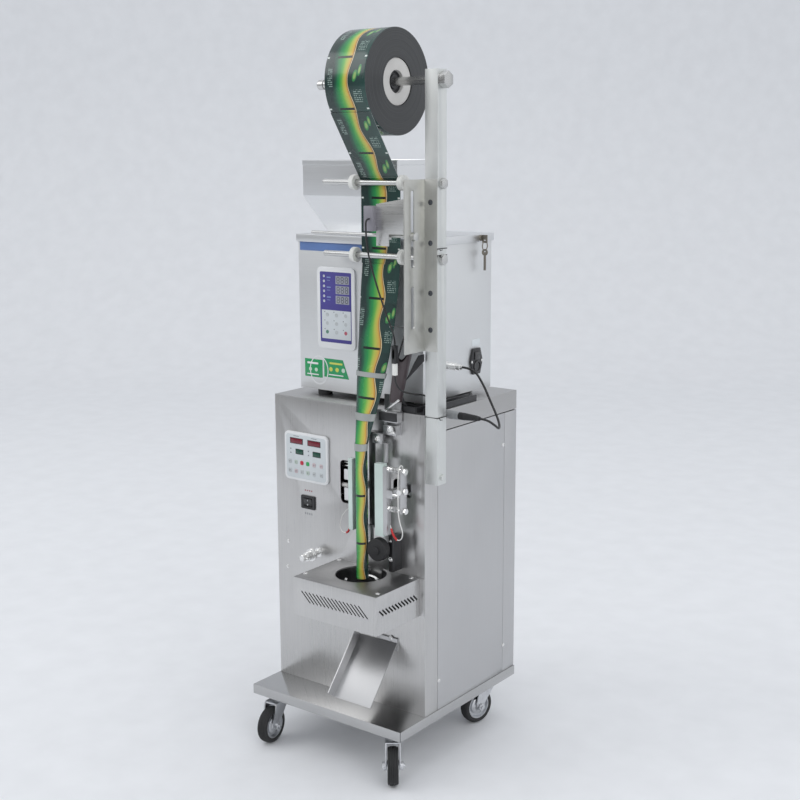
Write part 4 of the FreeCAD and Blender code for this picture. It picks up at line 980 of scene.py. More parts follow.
@dataclass
class FilmRun:
    """The printed film: the roll, the web over the rods, the fold and the tube of bags."""

    roll_radius: float = 87.0
    core_radius: float = 39.0
    width: float = 84.0
    thickness: float = 0.6
    gap: float = 0.4
    rod_radius: float = 5.0
    tube_radius: float = 11.0
    fold_mid: tuple[float, float, float, float] = (31.0, 7.0, -93.5, 703.0)
    upper_rod_z: float = 1028.0
    tube_top: float = 585.0
    twist: float = 0.45
    strap_z: tuple = ((577.0, 589.0), (628.0, 640.0), (700.5, 708.5))
    strap_lift: tuple[float, float] = (0.5, 1.2)
    hub_radius: float = 18.4
    shaft_radius: float = 7.3
    core_wall: float = 11.0

    def __post_init__(self) -> None:
        """Takes the film's edges, the roll's middle and the tube's ends from the frame."""
        low, high = node_span("film_roll")
        self.left, self.right = low[0], high[0]
        self.middle = (low + high) / 2
        self.fold_top = node_span("film_web")[0][2]
        tube_low = node_span("film_tube")[0]
        self.tube_low = tube_low[2]
        self.tube_y = tube_low[1] + self.tube_radius

    def lean(self) -> float:
        """The web's slope between the roll and the upper rod, from the two circles it touches."""
        big, small = self.roll_radius + self.gap, self.rod_radius + self.gap
        return math.asin((big + self.thickness + small) / (self.middle[2] - self.upper_rod_z))

    def web_path(self) -> np.ndarray:
        """The web's middle line: a slope that touches both circles, an arc on the rod, and a straight drop.

        Returns:
            (y, z, outward y, outward z) rows, from the roll to the fold.
        """
        lean = self.lean()
        facing = np.array([math.cos(lean), math.sin(lean)])
        lift = self.gap + self.thickness / 2
        big, small = self.roll_radius + lift, self.rod_radius + lift
        rod = np.array([self.middle[1], self.upper_rod_z])
        start, end = self.middle[1:] - big * facing, rod + small * facing
        rows = [np.concatenate([start + (end - start) * t, -facing]) for t in np.linspace(0, 1, 14)]
        for turn in np.linspace(lean, 0, 8)[1:]:
            out = np.array([math.cos(turn), math.sin(turn)])
            rows.append(np.concatenate([rod + small * out, -out]))
        for z in np.linspace(self.upper_rod_z, self.fold_top, 16)[1:]:
            rows.append(np.array([rod[0] + small, z, -1.0, 0.0]))
        return np.array(rows)

    def around(self, x: np.ndarray, radius: np.ndarray, turn: np.ndarray) -> np.ndarray:
        """Points at a distance and a turn about the shaft, counted from where the web leaves the roll."""
        angle = math.pi + self.lean() - turn
        y, z = self.middle[1] + radius * np.cos(angle), self.middle[2] + radius * np.sin(angle)
        return np.stack([x, y, z], axis=-1)

    def roll(self) -> Piece:
        """The roll: a printed round face, ends of wound film, and slightly uneven turns at the ends.

        The ends are rings whose depth is a sum of three sines of the radius, under 0.35 mm.

        Returns:
            The piece.
        """
        form = Form("film_roll_printed")
        turn = np.linspace(0, ROUND, 145)
        across = np.array([0.0, 0.4, 1.2, 10, 28, 42, 56, 74, 82.8, 83.6, 84.0])
        drop = np.array([0.5, 0.12, 0, 0, 0, 0, 0, 0, 0, 0.12, 0.5])
        a, b = np.meshgrid(turn, across, indexing="ij")
        prints = np.stack([b / self.width, -a * self.roll_radius * MM], axis=-1)
        face = self.roll_radius - np.broadcast_to(drop, a.shape)
        form.grid(self.around(self.left + b, face, a), prints=prints)
        depths = np.linspace(self.roll_radius - 0.5, self.core_radius, 40)
        uneven = 0.14 * np.sin(depths * 0.9) + 0.10 * np.sin(depths * 2.3 + 1) + 0.08 * np.sin(depths * 0.31)
        inset = np.concatenate([[0.0], np.abs(uneven[1:])])
        q, r = np.meshgrid(turn, np.arange(len(depths)), indexing="ij")
        for side, at in ((1, self.right), (-1, self.left)):
            form.grid(self.around(at - side * inset[r], depths[r], q), slot=1)
        q, x = np.meshgrid(turn, [self.left, self.right], indexing="ij")
        form.grid(self.around(x, np.full(x.shape, self.core_radius), q), slot=1)
        wound = WoundFilm("wound_film", (self.middle[1] * MM, self.middle[2] * MM))
        return form.build([FILM, wound], "film_reel", "film", ("film_roll",), smooth=50)

    def web(self) -> Piece:
        """The flat web: a thin strip along its middle line, printed in front and silver behind.

        Returns:
            The piece.
        """
        rows = self.web_path()
        steps = np.concatenate([[0], np.cumsum(np.hypot(*np.diff(rows[:, :2], axis=0).T))]) * MM
        self.web_length = steps[-1]
        across = np.linspace(self.left, self.right, 13)
        form = Form("film_web_printed")
        faces = [rows[:, :2] + side * rows[:, 2:] * self.thickness / 2 for side in (1, -1)]
        a, b = np.meshgrid(np.arange(len(rows)), across, indexing="ij")
        prints = np.stack([(b - self.left) / self.width, steps[a]], axis=-1)
        for slot, face in enumerate(faces):
            form.grid(np.stack([b, face[a, 0], face[a, 1]], axis=-1), slot=slot, prints=prints)
        for x in (self.left, self.right):
            edge = [np.column_stack([np.full(len(rows), x), face]) for face in faces]
            form.grid(np.stack(edge, axis=1), slot=1)
        for row in (0, -1):
            edge = [np.column_stack([across, np.tile(face[row], (len(across), 1))]) for face in faces]
            form.grid(np.stack(edge, axis=1), slot=1)
        return form.build([FILM, FILM_INSIDE], "machine", "film", ("film_web",), smooth=50)

    def fold_sections(self) -> np.ndarray:
        """Ovals down the film: the parabola in z through three of them, then the tube's all the way down.

        Returns:
            Rows of half width, half depth, y and z.
        """
        wide, deep, y_mid, z_mid = self.fold_mid
        web_y = self.middle[1] + self.rod_radius + self.gap + self.thickness / 2
        knots = np.array([[self.width / 2, 2.0, web_y],
                          [wide, deep, y_mid],
                          [self.tube_radius, self.tube_radius - 0.1, self.tube_y]])
        z0, z1, z2 = self.fold_top, z_mid, self.tube_top
        z = np.concatenate([np.linspace(z0, z2, 60), np.linspace(z2, self.tube_low, 50)[1:]])
        a, b, c = (np.clip(z, z2, None) - at for at in (z0, z1, z2))
        weights = np.stack([b * c / ((z0 - z1) * (z0 - z2)), a * c / ((z1 - z0) * (z1 - z2)),
                            a * b / ((z2 - z0) * (z2 - z1))], axis=1)
        return np.column_stack([weights @ knots, z])

    def tube(self) -> Piece:
        """The fold and the tube: ovals that narrow from the flat web, with soft creases down the film.

        A point of an oval lies at (a sin t, -b cos t), t from -180 to 180 degrees with 0 in front, and the
        print's u runs with t, over the front half at the top and over the whole turn at the tube.

        Returns:
            The piece.
        """
        sections = self.fold_sections()
        r, t = np.meshgrid(np.arange(len(sections)), np.linspace(-math.pi, math.pi, 73), indexing="ij")
        a, b, mid_y, z = (sections[r, k] for k in range(4))
        down = (self.fold_top - z) / (self.fold_top - self.tube_low)
        closed = np.clip((self.fold_top - z) / (self.fold_top - self.tube_top), 0, 1)
        crease = (0.012 * np.sin(3 * t + down * 9) + 0.010 * np.sin(7 * t - down * 23)
                  + 0.008 * np.sin(2 * t + down * 61)) * np.clip(closed * 2, 0, 1)
        crease -= 0.045 * np.exp(-((t - 1.9) / 0.16) ** 2) * closed
        swell = 1 - 0.03 + crease
        points = np.stack([self.middle[0] + a * swell * np.sin(t), mid_y - b * swell * np.cos(t), z], axis=-1)
        along = np.concatenate([[0], np.cumsum(np.hypot(*np.diff(sections[:, 2:], axis=0).T))]) * MM
        flat = np.where(np.abs(t) <= math.pi / 2, np.sin(t), np.sign(t) * (1.1 + np.abs(t) - math.pi / 2))
        u = (1 - closed) * (0.5 + 0.5 * flat) + closed * (0.5 + (t - self.twist) / ROUND)
        form = Form("film_tube_printed")
        form.grid(points, prints=np.stack([u, self.web_length + along[r]], axis=-1))
        for ring in (points[0, :-1], points[-1, :-1]):
            count = len(ring)
            form.add(np.concatenate([ring, ring.mean(axis=0)[None]]),
                     [[k, (k + 1) % count, count] for k in range(count)], 1)
        return form.build([FILM, FILM_INSIDE], "machine", "film", ("film_tube",), smooth=60)

    def straps(self) -> Piece:
        """Three grey bands that hold the fold and the tube in front, each just off the film's oval.

        Returns:
            The piece.
        """
        sections = self.fold_sections()[::-1]
        turn = np.linspace(-1.75, 1.75, 29)
        inner, outer = self.strap_lift
        form = Form("film_straps")
        for low, high in self.strap_z:
            rings = []
            for z, lift in ((low, outer), (high, outer), (high, inner), (low, inner)):
                a, b, y = (np.interp(z, sections[:, 3], sections[:, k]) for k in range(3))
                rings.append(np.column_stack([self.middle[0] + (a + lift) * np.sin(turn),
                                              y - (b + lift) * np.cos(turn), np.full(len(turn), z)]))
            form.band(np.stack(rings))
        return form.build([STRAP_GREY], "machine", "steel", smooth=60)

    def core(self) -> Piece:
        """The card core ring and the black hub in it, on the shaft, both turned profiles.

        Returns:
            The piece.
        """
        low, high = node_span("roll_core")
        hub, shaft = self.hub_radius, self.shaft_radius
        outer = self.core_radius - 0.2
        start, length = (low[0], self.middle[1], self.middle[2]), high[0] - low[0]
        form = Form("roll_core_ring")
        form.lathe([(0, hub + 0.2), (0, outer - 0.8), (0.8, outer), (length - 0.8, outer),
                    (length, outer - 0.8), (length, hub + self.core_wall), (length - 0.6, hub + 0.6),
                    (length - 2.0, hub + 0.2), (0, hub + 0.2)], start, RIGHT, 72)
        deep = length - 6.0
        form.lathe([(0, shaft), (0, hub), (deep, hub), (deep, hub - 2.5), (deep - 1.2, hub - 3.2),
                    (deep - 1.2, shaft + 4.5), (deep + 1.5, shaft + 4.0), (deep + 1.5, shaft), (0, shaft)],
                   start, RIGHT, 60, 1)
        return form.build([CARD, BLACK_PLASTIC], "film_reel", "card", ("roll_core",))

    def make(self) -> None:
        """Builds the roll, its core, the web, the tube and its straps."""
        self.roll()
        self.core()
        self.web()
        self.tube()
        self.straps()


@dataclass
class Caster:
    """One swivel caster: its ribbed tyre, pressed disc, axle bolt and the fork's fittings."""

    place: str
    wheel_radius: float = 33.5
    tread: float = 19.0
    tyre: float = 9.0
    hub: float = 21.5

    def make(self, frame: dict) -> None:
        """Builds the wheel across its own axle, and the nuts that ride on the fork.

        Args:
            frame: what the frame's load gave.
        """
        joint = next(j for j in frame["joints"] if j["child"] == "wheel_" + self.place)
        axis = np.array(joint["axis"], float)
        low, high = node_span("caster_wheel_" + self.place)
        middle = (low + high) / 2
        middle[2] = self.wheel_radius
        self.wheel(middle, axis)
        self.fittings(middle, axis)

    def wheel(self, middle: np.ndarray, axis: np.ndarray) -> None:
        """A closed tyre profile with a round tread and grooves, and a disc with a raised boss.

        Args:
            middle: the wheel's middle.
            axis: the direction of its axle.
        """
        form = Form("caster_wheel_" + self.place + "_finished")
        half, rim = self.tread / 2, self.wheel_radius - self.tyre
        shoulder = self.wheel_radius - 4.0
        profile = [(-half + 0.4, rim + 0.1), (-half, rim + 0.8), (-half, shoulder - 1.0)]
        for t in np.linspace(-1, 1, 61):
            along = t * (half - 0.3)
            crown = shoulder + 4.0 * math.sqrt(max(0.0, 1 - (t * 0.96) ** 2))
            groove = sum(math.exp(-((along - g) / 0.42) ** 2) for g in (-6.4, -3.2, 0.0, 3.2, 6.4))
            profile.append((along, min(self.wheel_radius, crown) - 1.1 * groove))
        profile += [(half, shoulder - 1.0), (half, rim + 0.8), (half - 0.4, rim + 0.1),
                    (-half + 0.4, rim + 0.1)]
        form.lathe(profile, tuple(middle), axis, 72)
        boss = self.hub / 2
        side = [(rim, 8.0), (rim - 0.6, 8.6), (rim - 2.0, 8.4), (rim - 2.8, 4.0), (rim - 3.8, 2.4),
                (17.2, 2.4), (16.2, 6.6), (15.0, 7.5), (11.0, 8.4), (10.0, 8.8), (9.6, boss - 0.6),
                (9.0, boss), (4.4, boss)]
        disc = [(w, r) for r, w in side] + [(-w, r) for r, w in side[::-1]] + [(side[0][1], side[0][0])]
        form.lathe(disc, tuple(middle), axis, 64, 1)
        form.build([BLACK_RUBBER, ZINC], "wheel_" + self.place, "tyre", ("caster_wheel_" + self.place,))

    def fittings(self, middle: np.ndarray, axis: np.ndarray) -> None:
        """The axle bolt's head and nut outside the fork's arms.

        Args:
            middle: the wheel's middle.
            axis: the direction of its axle.
        """
        form = Form("caster_axle_" + self.place)
        reach = self.hub / 2 + 0.3 + 2.5
        form.hexagon(tuple(middle + axis * reach), axis, 12.5, 5.0)
        form.hexagon(tuple(middle - axis * reach), -axis, 12.5, 5.5)
        form.rod(tuple(middle + axis * (reach + 4.5)), tuple(middle + axis * (reach + 7.5)), 3.4, 0.6)
        form.build([ZINC], "fork_" + self.place, "zinc")


@dataclass
class Lettering:
    """Small marks on a face, as flat bars: plain dashes, rings and arrows instead of words."""

    thickness: float = 0.15

    def bar(self, form: Form, at: tuple, width: float, height: float, slot: int) -> None:
        """A flat bar on a front face.

        Args:
            form: the form it joins.
            at: its middle's x, the face's y, and its middle's z.
            width: its size along x.
            height: its size along z.
            slot: its finish.
        """
        x, y, z = at
        form.plate((x - width / 2, y - self.thickness, z - height / 2), (x + width / 2, y, z + height / 2),
                   min(width, height) * 0.2, 0.04, Axis.Y, slot, 3)

    def dot(self, form: Form, at: tuple, radius: float, slot: int) -> None:
        """A flat round dot on a front face, with its middle at a point of the face."""
        form.lathe([(0, 0), (0, radius), (0.1, radius), (0.16, radius - 0.3), (0.16, 0)], at, FRONT, 24, slot)

    def ring(self, form: Form, at: tuple, radii: tuple, depths: tuple, steps: int, rise: float,
             slot: int) -> None:
        """A flat ring on a front face, whose height is its width times its rise.

        Args:
            form: the form it joins.
            at: its middle on the face.
            radii: its outer and its inner radius.
            depths: how far its back and its front stand before the face.
            steps: points round it.
            rise: the height over the width.
            slot: its finish.
        """
        x, y, z = at
        (outer, inner), (back, front) = radii, depths
        corners = ((outer, back), (outer, front), (inner, front), (inner, back), (outer, back))
        form.grid(np.stack([np.insert(arc(r, steps) * (1, rise) + (x, z), 1, y - depth, axis=1)
                            for r, depth in corners]), slot=slot)


@dataclass
class ControlPanel:
    """The sealing controller: a white frame, a pale face, two red and two green windows, and keys."""

    frame_width: float = 4.5
    window: tuple[float, float] = (31.0, 11.0)
    small_window: tuple[float, float] = (19.0, 10.0)
    red_z: float = 68.0
    green_z: float = 49.0
    red_x: tuple[float, float] = (14.0, 56.0)
    green_x: tuple[float, float] = (27.0, 68.0)
    key_rows: tuple[float, float] = (34.0, 17.0)
    key_columns: tuple[float, ...] = (13.0, 28.0, 42.0, 56.0, 71.0, 88.0)
    key_tints: tuple = ((4, 5, 6, 7, 8, 8), (4, 8, 4, 5, 4, 4))
    key: float = 7.6

    def make(self) -> None:
        """Builds the panel in one piece, with a slot for each colour."""
        low, high = node_span("control_panel")
        front = high[1] - 5.0
        form = Form("control_panel_finished")
        form.plate((low[0], front, low[2]), tuple(high), 9.0, 1.2, Axis.Y, 0, 8)
        edge = self.frame_width
        face = front - 0.25
        form.plate((low[0] + edge, face, low[2] + edge), (high[0] - edge, front + 0.1, high[2] - edge),
                   6.0, 0.12, Axis.Y, 1, 8)
        for left in self.red_x:
            self.display(form, low, (left, self.red_z), self.window, face, 2)
        for left in self.green_x:
            self.display(form, low, (left, self.green_z), self.small_window, face, 3)
        mark = Lettering()
        half, tip = self.key / 2, face - 0.75
        for tints, z in zip(self.key_tints, self.key_rows):
            for tint, x in zip(tints, self.key_columns):
                px, pz = low[0] + x, low[2] + z
                form.plate((px - half, tip, pz - half), (px + half, face + 0.1, pz + half), 2.2, 0.35,
                           Axis.Y, tint, 5)
                if tint not in (6, 7):
                    mark.bar(form, (px, tip, pz + 0.7), 3.4, 0.7, 9)
                    mark.bar(form, (px - 0.5, tip, pz - 0.9), 2.2, 0.7, 9)
        for x in (15.5, 58.0):
            for z in (58.0, 50.5):
                mark.bar(form, (low[0] + x, face, low[2] + z), 2.6, 1.8, 9)
        for x in (19.0, 61.0):
            mark.bar(form, (low[0] + x + 10.0, face, low[2] + 82.5), 13.0, 0.9, 9)
        finishes = [WHITE_PLASTIC, PANEL_FACE, WINDOW_RED, WINDOW_GREEN, KEY_GREY, KEY_SAGE, KEY_RED,
                    KEY_GREEN, KEY_ROSE, MARK_GREY, BLACK_PLASTIC]
        form.build(finishes, "machine", "panel_grey", ("control_panel",))

    def display(self, form: Form, low: np.ndarray, at: tuple, size: tuple, face: float, slot: int) -> None:
        """A dark frame round a tinted window.

        Args:
            form: the form it joins.
            low: the panel's low corner.
            at: the frame's left and bottom on the panel.
            size: the frame's width and height.
            face: the panel face's y.
            slot: the window's finish.
        """
        x, z = low[0] + at[0], low[2] + at[1]
        form.plate((x, face - 0.3, z), (x + size[0], face + 0.1, z + size[1]), 0.8, 0.15, Axis.Y, 10, 3)
        form.plate((x + 1.3, face - 0.45, z + 1.1), (x + size[0] - 1.3, face - 0.2, z + size[1] - 1.1),
                   0.4, 0.08, Axis.Y, slot, 3)


@dataclass
class Switch:
    """The rocker switch: a black bezel with a rim, and a rocker with a dished face and two marks."""

    corner: float = 2.0
    rim: float = 2.4
    rocker: tuple[float, float] = (20.0, 16.0)
    pivot_depth: float = 1.5
    wing: float = 5.4
    dip: float = 1.6

    def make(self) -> None:
        """Builds the bezel on the machine and the rocker on its own body."""
        low, high = node_span("switch_bezel")
        front = low[1]
        middle = (low + high) / 2
        self.bezel(low, high, front)
        self.paddle(middle[0], middle[2], front + self.rim + self.pivot_depth)

    def bezel(self, low: np.ndarray, high: np.ndarray, front: float) -> None:
        """A frame with a rounded outline that falls to a straight opening, and its open box behind.

        Args:
            low: the bezel's low corner.
            high: its high corner.
            front: its front face's y.
        """
        middle = (low + high) / 2
        width, height = high[0] - low[0], high[2] - low[2]
        hole_w, hole_h = self.rocker[0] + 0.6, self.rocker[1] + 0.6
        inner = [(round_rectangle(hole_w, hole_h, 0.3, 5), depth) for depth in (0.6, 12.0)]
        outer = [(round_rectangle(width, height, self.corner, 5), self.rim),
                 (round_rectangle(width, height, self.corner, 5), 0.8),
                 (round_rectangle(width - 0.8, height - 0.8, self.corner, 5), 0.15),
                 (round_rectangle(width - 2.0, height - 2.0, self.corner - 0.5, 5), 0.0),
                 (round_rectangle(hole_w + 3.0, hole_h + 3.0, 1.0, 5), 0.0),
                 (round_rectangle(hole_w + 1.4, hole_h + 1.4, 0.6, 5), 0.35)]
        box_outline = round_rectangle(hole_w + 2.4, hole_h + 2.4, 0.5, 5)
        rings = outer + inner + [(inner[1][0] * 0.02, 12.0), (box_outline * 0.02, 13.1), (box_outline, 13.1),
                                 (box_outline, self.rim), (outer[0][0], self.rim)]
        points = np.stack([np.column_stack([middle[0] + ring[:, 0], np.full(len(ring), front + depth),
                                            middle[2] + ring[:, 1]]) for ring, depth in rings])
        form = Form("switch_bezel_finished")
        form.grid(points, wrap_columns=True)
        form.build([BLACK_PLASTIC], "machine", "black", ("switch_bezel",))

    def paddle(self, x: float, z: float, axis_y: float) -> None:
        """A rocker whose ends are arcs about its pin and whose face is a shallow V with a round valley.

        Args:
            x: its middle's x.
            z: its middle's z.
            axis_y: its pin's y.
        """
        half_w, radius = self.rocker[0] / 2, self.rocker[1] / 2
        end = math.asin(min(1.0, self.wing / radius) * 0.86)
        top = [(-radius * math.sin(t), radius * math.cos(t)) for t in np.linspace(-0.55, end, 14)]
        valley = -(self.wing - self.dip)
        lip_y, lip_z = top[-1]
        face = [(valley + (lip_y - valley) * abs(s) ** 1.5, lip_z * s) for s in np.linspace(0.94, -0.94, 15)]
        outline = np.array(top + face + [(y, -z1) for y, z1 in top[::-1]])
        form = Form("switch_rocker_finished")
        half = [(outline * 0.93, half_w - 0.15), (outline * 0.985, half_w - 0.25), (outline, half_w - 0.8)]
        rings = [(ring, -depth) for ring, depth in half] + half[::-1]
        form.prism(rings, (x, axis_y, z), Axis.Y.vector, UP)
        for side in (-1, 1):
            pin = [(x + side * (half_w + reach), axis_y, z) for reach in (-0.6, 1.3)]
            form.rod(*pin, 1.3, 0.2, steps=16)
        mark = Lettering()
        mark.bar(form, (x, axis_y + valley - 0.42, z + 3.9), 0.7, 2.8, 1)
        mark.ring(form, (x, axis_y + valley, z - 3.9), (1.5, 0.95), (0.2, 0.62), 25, 1.0, 1)
        form.build([BLACK_GLOSS, WHITE_PLASTIC], "rocker", "black", ("switch_rocker",))


@dataclass
class WeigherFront:
    """What is on the weigher's front: the panel with displays and keys, a banner and two labels."""

    field_inset: float = 7.5
    display_step: float = 17.6
    lamp_step: float = 8.9
    key_step: float = 15.5

    def make(self) -> None:
        """Builds the panel, and the thin labels on the sheet."""
        low, high = node_span("weigher_panel")
        self.panel(low, high)
        self.labels(high[1])

    def panel(self, low: np.ndarray, high: np.ndarray) -> None:
        """A white frame round a blue field, with three grey displays over a white field of keys.

        Args:
            low: the panel's low corner.
            high: its high corner.
        """
        front = low[1]
        form = Form("weigher_panel_finished")
        form.plate(tuple(low), tuple(high), 9.0, 1.2, Axis.Y, 0, 8)
        inset = self.field_inset
        face = front - 0.2
        x0, x1, z0, z1 = low[0] + inset, high[0] - inset, low[2] + inset + 4.5, high[2] - inset - 1.0
        form.plate((x0, face, z0), (x1, front + 0.1, z1), 2.5, 0.1, Axis.Y, 1, 6)
        mark = Lettering()
        split = z0 + (z1 - z0) * 0.46
        white = face - 0.15
        form.plate((x0 + 3.5, white, z0 + 6.5), (x1 - 1.5, face + 0.05, split), 0.8, 0.06, Axis.Y, 2, 4)
        for k in range(3):
            top = z1 - 6.5 - self.display_step * k
            left, right = x1 - 35.5, x1 - 4.5
            form.plate((left, face - 0.4, top - 14.6), (right, face + 0.05, top), 0.8, 0.15, Axis.Y, 3, 4)
            for digit in range(3):
                self.digit(form, left + 6.0 + 9.6 * digit, top - 7.3, face - 0.4)
            mark.bar(form, (x0 + 20.5, face, top - 3.4), 9.0, 2.2, 4)
            mark.bar(form, (x0 + 20.0, face, top - 8.6), 7.0, 1.0, 4)
        for k in range(6):
            z = z1 - 8.0 - self.lamp_step * k
            form.lathe([(0, 0), (0, 2.3), (0.2, 2.3), (0.35, 1.9), (0.35, 0)], (x0 + 9.5, face + 0.05, z),
                       FRONT, 20, 2)
            mark.bar(form, (x0 + 9.5, face - 0.3, z), 2.2, 0.6, 1)
        span = x1 - x0 - 8.0
        for row in range(3):
            for column in range(3):
                px = x0 + 7.5 + span * (column + 0.5) / 3 - 2.0
                pz = split - 8.5 - self.key_step * row
                tint = {(2, 0): 6, (2, 2): 7}.get((row, column), 5)
                self.key_ring(form, px, pz, white, 3.4, tint)
                mark.bar(form, (px - 5.6, white, pz + 5.2), 1.6, 1.6, 8)
        finishes = [WHITE_PLASTIC, FIELD_VIOLET, PANEL_FACE, DISPLAY_GREY, KEY_BLUE, KEY_GREY, KEY_SAGE_DARK,
                    KEY_ROSE_DARK, MARK_DARK]
        form.build(finishes, "machine", "panel_blue", ("weigher_panel",))

    def digit(self, form: Form, x: float, z: float, y: float) -> None:
        """A seven bar numeral cell with all its bars dark.

        Args:
            form: the form it joins.
            x: its middle's x.
            z: its middle's z.
            y: the face's y.
        """
        mark = Lettering()
        for dz in (-5.2, 0.0, 5.2):
            mark.bar(form, (x, y, z + dz), 4.2, 1.2, 8)
        for dx in (-2.7, 2.7):
            for dz in (-2.6, 2.6):
                mark.bar(form, (x + dx, y, z + dz), 1.2, 4.2, 8)

    def key_ring(self, form: Form, x: float, z: float, y: float, radius: float, slot: int) -> None:
        """A round key with a raised rim, dished in the middle.

        Args:
            form: the form it joins.
            x: its middle's x.
            z: its middle's z.
            y: the face's y.
            radius: its radius.
            slot: its finish.
        """
        profile = [(-0.05, 0), (-0.05, radius), (0.35, radius - 0.1), (0.5, radius - 0.5),
                   (0.3, radius - 0.9), (0.25, 0)]
        form.lathe(profile, (x, y, z), FRONT, 24, slot)

    def labels(self, sheet_y: float) -> None:
        """The blue banner under the lid, and a green label with a white ring and a slanted part.

        Args:
            sheet_y: the y of the sheet they lie on.
        """
        form = Form("weigher_labels")
        body_low = node_span("weigher_body")[0]
        left = body_low[0] + 4.0
        form.plate((left, sheet_y - 0.25, 905.0), (left + 197.0, sheet_y, 920.5), 0.6, 0.08, Axis.Y, 0, 3)
        thickness = 0.2
        x, z = body_low[0] + 11.0, body_low[2] + 22.0
        form.plate((x, sheet_y - thickness, z), (x + 42.0, sheet_y, z + 33.0), 1.0, 0.06, Axis.Y, 1, 3)
        slanted = np.array([(0.0, 0.0), (58.0, 0.0), (44.0, 34.0), (0.0, 34.0)])
        form.prism([(slanted, 0.0), (slanted, thickness)], (x + 46.0, sheet_y, z + 3.0), RIGHT, UP, 1)
        mark = Lettering(0.12)
        mark.ring(form, (x + 34.0, sheet_y, z + 14.0), (22.0, 20.2), (0.1, 0.35), 61, 1.22, 2)
        top = sheet_y - thickness
        for k, slot in enumerate((3, 3, 4)):
            mark.dot(form, (x + 62.0 + 14.5 * k, top, z + 18.0), 4.0, slot)
        for k in range(2):
            mark.dot(form, (x + 13.0 + 14.0 * k, top, z + 14.0), 3.6, 4)
        mark.bar(form, (x + 19.0, top, z + 25.5), 26.0, 3.6, 2)
        mark.bar(form, (x + 19.0, top, z + 5.0), 28.0, 2.0, 2)
        mark.bar(form, (x + 74.0, top, z + 29.0), 30.0, 3.4, 3)
        mark.bar(form, (x + 74.0, top, z + 8.0), 34.0, 2.0, 2)
        finishes = [BANNER_BLUE, STICKER_GREEN, WHITE_PLASTIC, STICKER_YELLOW, STICKER_PALE]
        form.build(finishes, "machine", "panel_blue")


@dataclass
class Hopper:
    """The weigher's open hopper: upright walls with a folded rim, over a taper to the throat."""

    outer: tuple[float, float, float, float] = (-149.0, 66.0, -42.5, 97.5)
    throat: tuple[float, float, float, float] = (-105.0, 25.0, -20.0, 76.0)
    fold: float = 1003.0
    wall: float = 1.5
    corner: float = 3.0
    lip: float = 2.5

    def ring(self, sides: tuple[float, float, float, float], inset: float, z: float) -> np.ndarray:
        """One level of the shell.

        Args:
            sides: its low and high x, then its low and high y.
            inset: how far in from them it runs.
            z: its height.

        Returns:
            Points round it.
        """
        x0, x1, y0, y1 = sides
        outline = round_rectangle(x1 - x0 - 2 * inset, y1 - y0 - 2 * inset, self.corner - min(inset, 2.5), 5)
        return np.column_stack([(x0 + x1) / 2 + outline[:, 0], (y0 + y1) / 2 + outline[:, 1],
                                np.full(len(outline), z)])

    def make(self) -> None:
        """Joins the levels up the outside, over the rim and down the inside."""
        low, high = node_span("weigher_hopper")
        rim = high[2]
        levels = [(self.throat, 0.0, low[2]), (self.outer, self.wall, self.fold - 1.5),
                  (self.outer, self.wall * 0.7, self.fold + 1.0), (self.outer, self.wall * 0.7, rim - 9.0),
                  (self.outer, 0.2, rim - 8.2), (self.outer, 0.0, rim - 0.8), (self.outer, 0.8, rim),
                  (self.outer, self.lip, rim), (self.outer, self.lip + 0.4, rim - 0.8),
                  (self.outer, self.lip + 0.4, self.fold + 0.5), (self.throat, self.wall + 0.5, low[2])]
        form = Form("weigher_hopper_finished")
        form.grid(np.stack([self.ring(*level) for level in levels]), wrap_rows=True, wrap_columns=True)
        form.build([HOPPER_STEEL], "machine", "steel", ("weigher_hopper",))


@dataclass
class Cord:
    """A free cord: one NURBS line along its control points, as thick as the real one.

    The points are millimetres, in order from where the cord leaves the machine.
    """

    name: str
    points: tuple
    radius: float
    length: float
    far_end: str
    finish: Finish
    replaces: tuple = ()
    with_pieces: tuple = ()
    stiffness: str = "medium"
    body: str = "machine"

    def make(self) -> Piece:
        """Returns:
            The piece.
        """
        data = bpy.data.curves.new(self.name, "CURVE")
        data.dimensions = "3D"
        data.bevel_depth = self.radius * MM
        data.bevel_resolution = 5
        data.use_fill_caps = True
        data.resolution_u = 10
        spline = data.splines.new("NURBS")
        spline.points.add(len(self.points) - 1)
        for point, at in zip(spline.points, self.points):
            point.co = (at[0] * MM, at[1] * MM, at[2] * MM, 1.0)
        spline.order_u = 3
        spline.use_endpoint_u = True
        data.materials.append(self.finish.material())
        piece = bpy.data.objects.new(self.name, data)
        bpy.context.scene.collection.objects.link(piece)
        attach(piece, self.body)
        if self.replaces:
            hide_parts(*self.replaces)
        return piece


SIDE_CORD = ((222.0, -21.5, 636.0), (236.0, -21.5, 636.0), (247.0, -14.5, 627.0), (247.0, 0.5, 617.0),
             (237.0, 15.5, 624.0), (225.0, 21.5, 640.0), (212.0, 22.5, 662.0), (199.0, 23.5, 685.0),
             (179.0, 23.5, 711.0), (156.0, 23.5, 711.0))
SENSOR_CORD = ((76.5, -133.5, 971.0), (76.5, -142.5, 971.0), (76.5, -142.5, 955.0), (74.5, -137.5, 923.0),
               (78.5, -124.5, 876.0), (90.5, -118.5, 833.0), (106.5, -116.5, 795.0), (115.0, -116.5, 775.0),
               (115.0, -116.5, 763.0))
RAIL_CORD = ((115.0, -116.5, 713.0), (115.0, -116.5, 701.0), (121.0, -109.5, 686.0), (130.0, -91.5, 679.0),
             (138.0, -71.5, 676.0), (140.0, -49.5, 667.0), (140.0, -49.5, 645.0))


